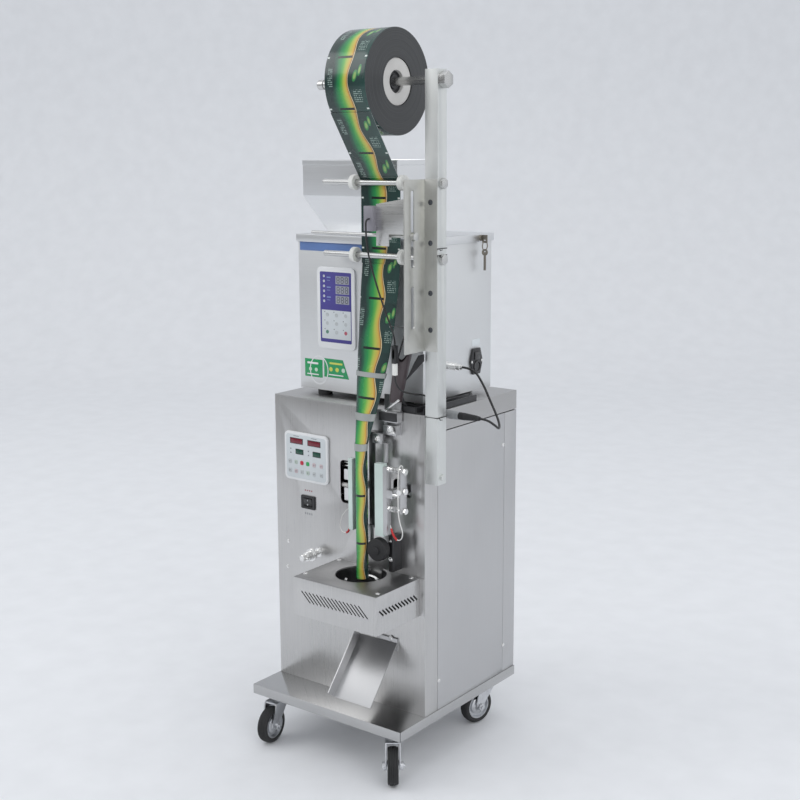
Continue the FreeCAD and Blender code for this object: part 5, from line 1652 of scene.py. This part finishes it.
@dataclass
class Connectors:
    """The two cords, the plug and sockets on the right side, and the coupler in the sensor's cord."""

    def make(self) -> None:
        """Builds the plug and coupler first, then the cords that carry them."""
        plug = self.plug()
        coupler = self.coupler()
        self.sockets()
        Cord("side_cord_run", SIDE_CORD, 2.0, 190.5, "object", CORD_BLACK, ("side_cord",), (plug,)).make()
        Cord("sensor_cord_run", SENSOR_CORD, 1.5, 224.2, "connector", CORD_BLACK, ("sensor_cord",),
             (coupler,), "limp").make()
        Cord("rail_cord_run", RAIL_CORD, 1.5, 114.9, "object", CORD_BLACK, ("rail_cord",)).make()

    def plug(self) -> Piece:
        """A round moulded plug with ribs and a tapered strain relief.

        Returns:
            The piece.
        """
        low, high = node_span("side_plug")
        y, z = (low[1] + high[1]) / 2, (low[2] + high[2]) / 2
        length = high[0] - low[0]
        profile = [(0, 0), (0, 5.9), (0.6, 6.4), (12.0, 6.4), (12.6, 5.8)]
        for k in range(5):
            at = 14.5 + 4.6 * k
            radius = 6.1 - 0.30 * k
            profile += [(at - 1.2, radius - 0.7), (at, radius - 0.7), (at + 0.4, radius),
                        (at + 2.4, radius - 0.1), (at + 2.8, radius - 0.8)]
        profile += [(length - 1.0, 3.9), (length, 3.4), (length, 0)]
        form = Form("side_plug_finished")
        form.lathe(profile, (low[0], y, z), RIGHT, 40)
        return form.build([BLACK_RUBBER], "machine", "black", ("side_plug",))

    def coupler(self) -> Piece:
        """A black socket over a white header, with a latch and moulded steps.

        Returns:
            The piece.
        """
        low, high = node_span("cord_coupler")
        split = high[2] - 30.0
        form = Form("cord_coupler_finished")
        form.plate((low[0], low[1], split), tuple(high), 1.4, 0.6, Axis.Z, 0, 4)
        form.plate((low[0] + 1.8, low[1], split + 8), (high[0] - 1.8, low[1] + 1.2, high[2] - 6),
                   0.8, 0.4, Axis.Z, 0, 3)
        form.plate((low[0] + 1.0, low[1] + 1.0, low[2]), (high[0] - 1.0, high[1] - 1.0, split),
                   0.8, 0.4, Axis.Z, 1, 4)
        form.plate((low[0] + 2.6, low[1] + 0.2, low[2] + 4), (high[0] - 2.6, low[1] + 1.4, split - 3),
                   0.4, 0.3, Axis.Z, 1, 3)
        return form.build([BLACK_PLASTIC, WHITE_NYLON], "machine", "black", ("cord_coupler",))

    def sockets(self) -> None:
        """The chrome screw connector on the weigher's side, and the grey panel socket on the cabinet's."""
        form = Form("side_connectors_finished")
        chrome = [(0, 0), (0, 8.0), (2.2, 8.0), (2.6, 7.4), (3.0, 7.4), (3.2, 6.0), (9.0, 6.0), (9.4, 6.9)]
        for start in (10.2 + 1.5 * k for k in range(8)):
            chrome += [(start, 6.9), (start + 0.3, 6.5), (start + 0.7, 6.5), (start + 1.0, 6.9)]
        chrome += [(23.0, 6.9), (23.4, 5.6), (31.0, 5.4), (31.6, 4.4), (36.0, 3.6), (36.0, 0)]
        form.lathe(chrome, (120.0, 23.5, 711.0), RIGHT, 40)
        grey = [(0, 0), (0, 7.5), (2.0, 7.5), (2.4, 6.9), (8.0, 6.9), (8.2, 7.4), (19.0, 7.4), (19.4, 6.8),
                (27.2, 6.8), (28.0, 6.2), (28.0, 0)]
        form.lathe(grey, (152.0, -21.5, 636.0), RIGHT, 40, 1)
        form.build([BRIGHT, GREY_PLASTIC], "machine", "bright", ("side_connectors",))


@dataclass
class ProductFunnel:
    """The smoked scoop before the weigher: two open leaves over a slanting spout, an arm and struts."""

    top_at: tuple[float, float, float] = (112.0, -88.0, 750.0)
    slant: float = 0.20
    rim: tuple[float, float, float] = (733.0, 32.0, 6.0)
    radius: tuple[float, float] = (11.0, 15.5)
    low: float = 661.0
    wall: float = 1.4

    def make(self) -> None:
        """Builds the scoop and what holds it.

        The rim's height follows the turn a as base + leaf sin(a) squared + lean sin(a), so that two
        leaves stand up on the left and the right of a low front and back.
        """
        turn = np.linspace(0, ROUND, 64, endpoint=False)
        front, side = np.array([0.6, -0.8]), np.array([0.8, 0.6])
        base, leaf, lean = self.rim
        top = base + leaf * np.sin(turn) ** 2 + lean * np.sin(turn)
        share = np.linspace(0, 1, 14)[:, None]
        z = self.low + (top[None, :] - self.low) * share
        grow = np.clip((z - self.low) / 95.0, 0, 1.2)
        rings = []
        for inset, order in ((0.0, 1), (self.wall, -1)):
            r = self.radius[0] + (self.radius[1] - self.radius[0]) * grow - inset
            x = self.top_at[0] - (self.top_at[2] - z) * self.slant
            across = np.cos(turn)[None, :, None] * front + np.sin(turn)[None, :, None] * side
            flat = np.stack([x, np.full_like(x, self.top_at[1])], axis=-1) + r[..., None] * across
            rings.append(np.concatenate([flat, z[..., None]], axis=-1)[::order])
        form = Form("product_funnel_finished")
        form.grid(np.concatenate(rings), wrap_rows=True, wrap_columns=True)
        arm = np.array([(0.0, 0.0), (37.0, 36.0), (37.0, 48.0), (26.0, 45.0), (17.0, 31.0)])
        form.prism([(arm, 0.0), (arm, 2.0)], (115.0, -84.2, 700.0), RIGHT, UP, 1)
        strut = [(121.0, -92.0, 787.0), (117.0, -99.0, 765.0), (112.0, -103.0, 742.0), (109.0, -102.0, 726.0)]
        form.tube(strut, 1.5, 8, 1)
        wire = [(88.0, -92.0, 790.0), (106.0, -91.0, 790.5), (119.0, -92.0, 790.0), (122.0, -92.0, 784.0)]
        form.tube(wire, 0.6, 6, 1)
        form.rod((87.0, -92.5, 790.0), (90.0, -92.5, 790.0), 1.8, 0.5, slot=2)
        form.tube([(104.0, -86.0, 674.0), (106.0, -80.0, 660.0), (106.0, -70.0, 645.0)], 2.2, 10, 1)
        form.build([FUNNEL_PLASTIC, BLACK_PLASTIC, WHITE_PLASTIC], "machine", "black", ("product_funnel",),
                   45)


RIGHT_LEAD = ((135.0, -122.5, 556.0), (135.0, -122.5, 563.0), (134.0, -131.0, 563.0), (133.0, -133.0, 548.0),
              (132.5, -133.0, 514.0), (132.5, -132.5, 478.0), (136.0, -131.0, 461.0), (140.0, -129.0, 446.0),
              (134.0, -127.0, 433.5), (123.0, -125.0, 431.0), (113.0, -123.0, 441.0), (108.0, -122.5, 454.0))
LEFT_LEAD = ((-6.0, -83.5, 463.0), (-6.0, -92.0, 461.0), (-13.0, -104.0, 448.0), (-16.0, -109.0, 431.0),
             (-10.0, -111.0, 420.0), (2.0, -114.0, 419.0), (12.0, -118.0, 425.0), (18.0, -121.0, 438.0))


@dataclass
class SealingFittings:
    """The springs, nuts, heater leads and small plates round the two heater bars."""

    bar_y: float = -122.5
    bolt_z: tuple[float, float] = (484.0, 552.0)
    plate_x: float = 105.0
    pusher_x: tuple[float, float] = (133.0, 137.0)
    nut: float = 9.0
    spring: tuple[float, float] = (4.6, 0.9)
    slot_plates: tuple = (((-28.0, -80.0, 505.0), (-16.0, -78.0, 524.0)),
                          ((-28.0, -80.0, 467.0), (-17.0, -78.0, 490.0)))
    brush_z: tuple[float, ...] = (468.0, 474.0, 530.0, 536.0)
    strip_screws: tuple = (((93.0, -101.6, 615.0), 5.2, 4.0), ((99.5, -101.6, 610.0), 2.6, 3.0),
                           ((68.0, -106.0, 597.0), 5.0, 3.5))
    strip_plates: tuple = (((69.5, -102.6, 629.0), (106.5, -95.0, 644.0), 1.0, 0.5, 1),
                           ((58.0, -106.0, 588.0), (77.0, -101.0, 606.0), 1.5, 0.6, 2),
                           ((75.0, -102.0, 556.0), (86.0, -98.0, 590.0), 0.8, 0.4, 2),
                           ((47.0, -106.0, 413.0), (57.0, -103.5, 441.0), 0.8, 0.4, 2))
    strip_rod: tuple = ((84.0, -99.0, 648.0), ((113.0, -104.0, 668.0), (80.0, -98.0, 640.0)))
    block_screws: tuple = (((96.5, -107.5, 387.0), 3.4, 2.2), ((96.5, -107.5, 420.0), 2.4, 1.6))

    def make(self) -> None:
        """Builds the right sealer's fittings, the left slot's inside, the strip's fittings and the leads."""
        self.right()
        self.left()
        self.strip()
        self.puller()
        self.leads()

    def right(self) -> None:
        """Two springs between nuts on the bolts, and the adjusting nut on the pusher."""
        form = Form("right_sealer_fittings")
        radius, wire = self.spring
        for z in self.bolt_z:
            form.hexagon((self.plate_x, self.bar_y, z), RIGHT, self.nut, 4.0)
            form.hexagon((self.pusher_x[0] - 4.0, self.bar_y, z), RIGHT, self.nut, 4.0)
            form.hexagon((self.pusher_x[1] + 0.5, self.bar_y, z), RIGHT, self.nut + 1.5, 5.0)
            form.coil((self.plate_x + 5.5, self.bar_y, z), 17.5, radius, wire, 6)
        middle = sum(self.bolt_z) / 2
        rod_y, rod_z = self.bar_y - 4.5, middle - 8.0
        form.rod((117.0, rod_y, rod_z), (self.pusher_x[0], rod_y, rod_z), 3.0, 0.4)
        form.hexagon((self.pusher_x[0] + 2.0, self.bar_y - 8.0, middle), FRONT, 9.0, 4.0)
        form.hexagon((self.pusher_x[1], self.bar_y, middle), RIGHT, 11.0, 5.0)
        form.build([BRIGHT], "right_sealer", "bright")

    def left(self) -> None:
        """What shows through the left slot: a white angle, a spacer rod and two brush strips."""
        form = Form("left_slot_inside")
        for low, high in self.slot_plates:
            form.plate(low, high, 0.8, 0.3, Axis.Y)
        form.rod((-34.0, -76.0, 494.0), (-20.0, -76.0, 494.0), 4.0, 0.4, slot=1)
        for z in self.brush_z:
            form.rod((-33.0, -76.0, z), (-4.0, -76.0, z), 1.6, 0.3, slot=2)
        form.build([WHITE_PLASTIC, CARD, BRIGHT], "machine", "bright")

    def strip(self) -> None:
        """The screws, the pale bars and the dark clamp along the strip right of the film."""
        form = Form("former_fittings")
        for low, high, corner, bevel, slot in self.strip_plates:
            form.plate(low, high, corner, bevel, Axis.Y, slot)
        for at, radius, height in self.strip_screws:
            form.screw(at, FRONT, radius, height)
        knee, ends = self.strip_rod
        for end in ends:
            form.rod(knee, end, 2.2, 0.5)
        form.build([BRIGHT, BLACK_PLASTIC, BRUSHED_SIDE], "machine", "bright")

    def puller(self) -> None:
        """The screws on the pull wheel's block."""
        form = Form("pull_block_screws")
        for at, radius, height in self.block_screws:
            form.screw(at, FRONT, radius, height)
        form.build([BRIGHT], "machine", "bright")

    def leads(self) -> None:
        """The two white heater leads, with red sleeves where they enter the bars."""
        right, left = Form("right_lead_sleeve"), Form("left_lead_sleeve")
        right.tube([(124.0, -125.2, 431.6), (118.0, -124.2, 435.5), (113.0, -123.2, 441.5),
                    (109.8, -122.7, 449.0)], 1.9, 12)
        left.tube([(6.0, -115.8, 421.5), (11.0, -117.6, 424.8), (15.5, -119.6, 431.0)], 1.9, 12)
        pieces = (right.build([SLEEVE_RED], "right_sealer", "cord", smooth=60),
                  left.build([SLEEVE_RED], "left_sealer", "cord", smooth=60))
        Cord("right_heater_lead", RIGHT_LEAD, 0.9, 182.0, "object", WIRE_WHITE, (), (pieces[0],), "limp",
             "right_sealer").make()
        Cord("left_heater_lead", LEFT_LEAD, 0.7, 90.0, "object", WIRE_WHITE, (), (pieces[1],), "limp",
             "left_sealer").make()


@dataclass
class CabinetFittings:
    """Screws, ties, the guard's knob and mouth, and what is on the power inlet."""

    side_screws: tuple = ((-42.5, 610.0), (-42.0, 157.0), (168.5, 155.5), (162.0, 547.0))
    front_screws: tuple = ((-164.5, 317.0), (-162.0, 366.5))
    angle_screws: tuple[float, ...] = (998.0, 932.0, 850.0, 789.0)
    guard_screws: tuple = ((-33.0, -182.0), (-33.0, -91.0), (132.0, -189.0), (129.0, -92.0))
    tie_z: tuple[float, ...] = (641.0, 912.0, 923.0)
    mouth_radius: float = 44.6
    mouth_at: tuple[float, float] = (46.0, -126.5)
    jaw: tuple = ((25.0, -20.0), (31.0, -20.0), (31.0, -9.0), (28.5, -7.5), (25.0, -9.0))

    def make(self) -> None:
        """Builds the fittings group by group."""
        self.screws()
        self.ties()
        self.knob()
        self.mouth()
        self.marks()
        self.inlet()

    def screws(self) -> None:
        """Pan head screws on the side, the front, the guard and the angle."""
        form = Form("small_screws")
        side_x = node_span("side_panels")[1][0]
        front_y = node_span("front_panel")[0][1]
        guard_z = node_span("guard_box")[1][2]
        for y, z in self.side_screws:
            form.screw((side_x, y, z), RIGHT, 3.2, 1.6)
        for x, z in self.front_screws:
            form.screw((x, front_y, z), FRONT, 2.6, 1.4)
        for x, y in self.guard_screws:
            form.screw((x, y, guard_z), UP, 3.6, 2.0)
        form.screw((79.3, -85.5, 233.0), FRONT, 3.6, 2.0)
        for z in self.angle_screws:
            form.screw((164.0, -83.5, z), FRONT, 3.6, 2.2, 1)
        form.build([BRIGHT, MARK_DARK], "machine", "bright")

    def ties(self) -> None:
        """Thin black wire ties round the post, with short ends on its right."""
        low, high = node_span("film_post")
        form = Form("post_ties")
        x0, x1, y0, y1 = low[0] - 0.7, high[0] - 3.5, low[1] - 0.7, high[1] + 0.7
        for z in self.tie_z:
            form.tube([(x0, y1, z), (x0, y0, z), (x1, y0, z), (x1, y1, z)], 0.8, 6)
            end = [(x1, y0 + 6.0, z), (x1 + 4.0, y0 + 2.0, z - 2.5), (x1 + 9.0, y0 + 1.0, z - 1.0)]
            form.tube(end, 0.7, 6)
        form.build([CORD_BLACK], "machine", "black")

    def knob(self) -> None:
        """The guard's knob: a chrome rod straight out of the sheet, through a knurled barrel."""
        low, high = node_span("guard_knob")
        z, x = (low[2] + high[2]) / 2, high[0] - 5.0
        profile = [(0, 0), (0, 8.4), (1.4, 8.4), (1.6, 5.4), (18.0, 5.4), (18.4, 11.4), (19.0, 12.0),
                   (21.6, 12.0), (22.2, 11.4), (22.6, 8.0)]
        for k in range(7):
            profile += [(23.2 + 1.7 * k, 8.6), (24.2 + 1.7 * k, 8.6), (24.5 + 1.7 * k, 8.0)]
        profile += [(35.4, 8.0), (35.6, 6.0), (46.0, 6.0), (47.0, 5.0), (47.0, 0)]
        form = Form("guard_knob_finished")
        form.lathe(profile, (x, high[1], z), FRONT, 32)
        form.rod((x - 11.0, high[1] - 41.0, z), (x + 11.0, high[1] - 41.0, z), 1.6, 0.3)
        form.build([BRIGHT], "machine", "bright", ("guard_knob",))

    def mouth(self) -> None:
        """The guard's round mouth, with two bright curved jaws round the film, and painted shade: a dark
        liner and floor in the mouth and black plates inside the box's front and right walls stand in for the
        shade inside the box.
        """
        low, high = node_span("guard_box")
        x, y = self.mouth_at
        top = high[2] - 2.2
        form = Form("cutter_mouth_and_shade_liners")
        reach = self.mouth_radius
        # Painted shade: a dark liner with a floor stands in for the shade down the mouth.
        form.lathe([(0, reach), (0, reach + 0.5), (-36.0, reach + 0.5), (-36.0, 0), (-35.0, 0),
                    (-35.0, reach), (0, reach)], (x, y, top), UP, 64)
        for start in (0.35, 0.35 + math.pi):
            form.band(np.stack([np.column_stack([(x, y) + arc(r, 20, start, 2.2), np.full(20, top + dz)])
                                for r, dz in self.jaw]), 1)
        # Painted shade: black plates inside the box's front and right walls.
        inner, bottom, ceiling = high[0] - 13.0, low[2] + 8.0, high[2] - 6.0
        front = low[1] + 4.0
        form.plate((low[0] + 4.0, front - 1.0, bottom), (inner, front, ceiling), 1.0, 0.2, Axis.Y, 2, 3)
        form.plate((inner, front, bottom), (inner + 1.0, high[1] - 5.0, ceiling), 1.0, 0.2, Axis.X, 2, 3)
        form.build([SATIN_DARK, BRIGHT, BLACK_PLASTIC], "machine", "steel", smooth=50)

    def marks(self) -> None:
        """Dashes above and below the rocker switch, and a dark rod along the deck's front corner, painted
        shade for the gap of the seam.
        """
        low, high = node_span("switch_bezel")
        sheet_y = node_span("front_panel")[0][1]
        form = Form("switch_marks_and_seam_shade")
        mark = Lettering()
        for k in range(4):
            mark.bar(form, (low[0] + 9.5 + 5.0 * k, sheet_y, high[2] + 9.5), 2.6, 2.4, 0)
        for k in range(4):
            mark.bar(form, (low[0] + 9.0 + 5.0 * k, sheet_y, low[2] - 9.0), 2.8, 4.0, 1)
        # Painted shade: a thin dark rod stands in for the shade in the seam's gap.
        deck_low, deck_high = node_span("base_deck")
        seam = (deck_high[0] - 0.3, deck_low[1] + 0.3)
        form.rod((*seam, deck_low[2]), (*seam, deck_high[2]), 0.55, 0.1, 2, 8)
        form.build([MARK_RED, GREY_PLASTIC, MARK_DARK], "machine", "black")

    def inlet(self) -> None:
        """The power inlet's face, with a rocker, a round socket and two screws, and a bare label above."""
        low, high = node_span("power_inlet")
        face = high[0]
        y, z = (low[1] + high[1]) / 2, (low[2] + high[2]) / 2
        form = Form("power_inlet_face")
        form.plate((face - 0.4, y - 8.5, z + 3.5), (face + 2.2, y + 8.5, z + 17.5), 1.2, 0.6, Axis.X, 1)
        form.lathe([(-0.2, 0), (-0.2, 10.5), (1.6, 10.2), (2.0, 9.6), (1.8, 8.6), (0.4, 8.2), (0.4, 0)],
                   (face, y, z - 9.0), RIGHT, 36, 1)
        for side in (-1, 1):
            form.screw((face, y + side * 15.6, z), RIGHT, 2.0, 1.2, 2)
        body_high = node_span("weigher_body")[1]
        form.plate((body_high[0], 104.5, 734.0), (body_high[0] + 0.3, 130.5, 746.0), 0.8, 0.1, Axis.X, 3)
        form.build([BLACK_PLASTIC, BLACK_GLOSS, BRIGHT, PANEL_FACE], "machine", "black")


@dataclass
class Studio:
    """A pale floor and backdrop, soft lamps and the camera."""

    camera_at: tuple[float, float, float] = (1382.6, -1774.0, 1081.7)
    yaw: float = 37.182
    pitch: float = 10.358
    roll: float = -0.275
    focal_px: float = 1273.67
    centre_px: tuple[float, float] = (399.92, 382.8)
    floor_colour: tuple[float, float, float] = (0.80, 0.81, 0.83)
    lamps: tuple = (("key_lamp", (-2.6, -2.4, 3.2), 2.4, 32.0), ("fill_lamp", (2.9, -0.9, 2.4), 2.2, 18.0),
                    ("top_lamp", (0.2, 0.4, 3.8), 2.8, 12.0))

    def camera(self) -> None:
        """Places the camera from its yaw, pitch and roll, with the photograph's framing as a shift."""
        yaw, pitch, roll = (math.radians(a) for a in (self.yaw, self.pitch, self.roll))
        ahead = Vector((-math.sin(yaw) * math.cos(pitch), math.cos(yaw) * math.cos(pitch), -math.sin(pitch)))
        level = Vector((math.cos(yaw), math.sin(yaw), 0.0))
        over = level.cross(ahead)
        right = level * math.cos(roll) + over * math.sin(roll)
        up = over * math.cos(roll) - level * math.sin(roll)
        data = bpy.data.cameras.new("camera")
        data.sensor_width = 36.0
        data.lens = self.focal_px / IMAGE_SIZE * data.sensor_width
        data.shift_x = (IMAGE_SIZE / 2 - self.centre_px[0]) / IMAGE_SIZE
        data.shift_y = (self.centre_px[1] - IMAGE_SIZE / 2) / IMAGE_SIZE
        data.clip_end = 50.0
        camera = bpy.data.objects.new("camera", data)
        turn = Matrix((right, up, -ahead)).transposed().to_4x4()
        camera.matrix_world = Matrix.Translation(Vector(self.camera_at) * MM) @ turn
        bpy.context.scene.collection.objects.link(camera)
        bpy.context.scene.camera = camera

    def lamp(self, name: str, at: tuple, size: float, power: float, aim: tuple = (0.0, 0.0, 0.6)) -> None:
        """Adds one large soft lamp.

        Args:
            name: the lamp's name.
            at: where it hangs, in metres.
            size: its side, in metres.
            power: its power in watts.
            aim: the point it faces.
        """
        data = bpy.data.lights.new(name, "AREA")
        data.shape = "SQUARE"
        data.size = size
        data.energy = power
        lamp = bpy.data.objects.new(name, data)
        lamp.location = at
        lamp.rotation_euler = (Vector(aim) - Vector(at)).to_track_quat("-Z", "Y").to_euler()
        bpy.context.scene.collection.objects.link(lamp)

    def world(self) -> None:
        """A pale sky, with a darker room behind the camera that only reflections and light see."""
        world = bpy.data.worlds.new("studio")
        bpy.context.scene.world = world
        world.use_nodes = True
        world.node_tree.nodes.clear()
        tree = Tree(world.node_tree)
        place = tree.node("ShaderNodeTexCoord")
        split = tree.node("ShaderNodeSeparateXYZ", {0: place.outputs["Generated"]})
        toward = tree.math("ADD", tree.math("MULTIPLY", split.outputs[0], -0.35),
                           tree.math("MULTIPLY", split.outputs[1], -0.94))
        dark = tree.span(toward, 0.35, 0.95, 0.0, 1.0, smooth=True)
        low = tree.span(split.outputs[2], 0.0, 0.42, 1.0, 0.0, smooth=True)
        shade = tree.math("MULTIPLY", dark, low)
        room = tree.mix(shade, rgba((0.80, 0.82, 0.85)), rgba((0.16, 0.16, 0.16)))
        seen = tree.node("ShaderNodeLightPath")
        colour = tree.mix(seen.outputs["Is Camera Ray"], room, rgba((0.76, 0.78, 0.82)))
        shine = tree.node("ShaderNodeBackground", {"Color": colour, "Strength": 1.02})
        tree.node("ShaderNodeOutputWorld", {"Surface": shine.outputs[0]})

    def stage(self) -> None:
        """A floor that curves up into a backdrop far behind the machine."""
        reach, back, rise = 9.0, 5.0, 6.0
        bend = 1.6
        turn = np.linspace(0, math.pi / 2, 16)
        curve = np.column_stack([back - bend + bend * np.sin(turn), bend - bend * np.cos(turn)])
        side = np.concatenate([[[-reach, 0.0]], curve, [[back, rise]]])
        across = np.array([-reach, reach])
        ahead = np.array([-math.sin(math.radians(self.yaw)), math.cos(math.radians(self.yaw))])
        level = np.array([ahead[1], -ahead[0]])
        points = np.zeros((len(side), 2, 3))
        points[:, :, 0] = side[:, 0:1] * ahead[0] + across[None, :] * level[0]
        points[:, :, 1] = side[:, 0:1] * ahead[1] + across[None, :] * level[1]
        points[:, :, 2] = side[:, 1:2]
        mesh = bpy.data.meshes.new("floor_sheet")
        mesh.from_pydata(points.reshape(-1, 3).tolist(), [], grid_faces(len(side), 2).tolist())
        mesh.shade_smooth()
        cloth = Moulded("floor_cloth", self.floor_colour, roughness=0.9, variation=0.02, relief=0.0)
        mesh.materials.append(cloth.material())
        floor = bpy.data.objects.new("floor_sheet", mesh)
        bpy.context.scene.collection.objects.link(floor)

    def make(self) -> None:
        """Builds the camera, the stage and the lamps."""
        self.camera()
        self.world()
        self.stage()
        for lamp in self.lamps:
            self.lamp(*lamp)
        bpy.context.scene.view_settings.view_transform = "Standard"


SOLIDS = (
    SolidPiece("base_deck", POLISHED, "steel"),
    SolidPiece("front_panel", BRUSHED, "steel", 0.6),
    SolidPiece("back_panel", BRUSHED_SIDE, "steel", 0.6),
    SolidPiece("side_panels", BRUSHED_SIDE, "steel", 0.4),
    SolidPiece("top_cover", COVER_STEEL, "steel", 0.6),
    # Its top faces take a darker painted shade.
    SolidPiece("guard_box", BRUSHED, "steel", 0.3, GUARD_TOP_PAINTED_SHADE),
    SolidPiece("discharge_chute", CHUTE_STEEL, "steel", 0.4),
    SolidPiece("weigher_body", WEIGHER_STEEL, "steel", 0.8),
    SolidPiece("weigher_lid", HOPPER_STEEL, "steel", 0.8),
    SolidPiece("film_post", POST_STEEL, "steel", 0.8),
    SolidPiece("slotted_angle", ANGLE_ZINC, "zinc", 0.3),
    SolidPiece("caster_plates", ZINC, "zinc", 0.5),
    SolidPiece("roll_shaft", SATIN_ROD, "bright", 0.6),
    SolidPiece("guide_rods", SATIN_ROD, "bright", 0.6),
    SolidPiece("guide_collars", WHITE_NYLON, "nylon", 0.8),
    SolidPiece("sensor_rod", SATIN_ROD, "bright", 0.4),
    SolidPiece("mark_sensor", SENSOR_METAL, "black", 0.6),
    SolidPiece("left_heater_bar", MINT_METAL, "pale_metal", 0.6),
    SolidPiece("right_heater_bar", MINT_METAL, "pale_metal", 0.6),
    SolidPiece("left_heater_carriage", BRUSHED_SIDE, "bright", 0.4),
    SolidPiece("right_heater_carriage", BRUSHED_SIDE, "bright", 0.4),
    SolidPiece("sealer_slide", BRIGHT, "bright", 0.4),
    SolidPiece("pull_wheel", BLACK_RUBBER, "rubber", 0.5),
    SolidPiece("pull_block", BLACK_PLASTIC, "black", 0.6),
    SolidPiece("weigher_feet", BLACK_RUBBER, "rubber", 0.8),
    SolidPiece("power_inlet", BLACK_PLASTIC, "black", 0.8),
    SolidPiece("lid_lock", KEY_METAL, "bright", 0.3),
    SolidPiece("top_rails", BLACK_PLASTIC, "black", 0.3),
    SolidPiece("former_bracket", BRUSHED_SIDE, "black", 0.4),
    SolidPiece("former_arm", SATIN_DARK, "black", 0.4),
)


def report(title: str, known: set[str]) -> None:
    """Logs the pieces that a class has added.

    Args:
        title: the class's name.
        known: the names of the objects before, which the new ones join.
    """
    for piece in bpy.context.scene.objects:
        if piece.name not in known:
            LOG.info("%s: %s", title, piece.name)
            known.add(piece.name)


def main() -> None:
    """Builds every sub-assembly round the frame, and reports each piece."""
    logging.basicConfig(level=logging.INFO, format="%(message)s")
    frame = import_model()
    known = {piece.name for piece in bpy.context.scene.objects}
    Studio().make()
    report("Studio", known)
    for piece in SOLIDS:
        piece.make(frame)
    report("SolidPiece", known)
    for place in ("front_left", "front_right", "back_left", "back_right"):
        SolidPiece("caster_fork_" + place, ZINC, "zinc", 0.4).make(frame)
        Caster(place).make(frame)
    report("Caster", known)
    for kind in (FilmRun, ControlPanel, Switch, WeigherFront, Hopper, ProductFunnel, SealingFittings,
                 CabinetFittings, Connectors):
        kind().make()
        report(kind.__name__, known)


if __name__ == "__main__":
    main()
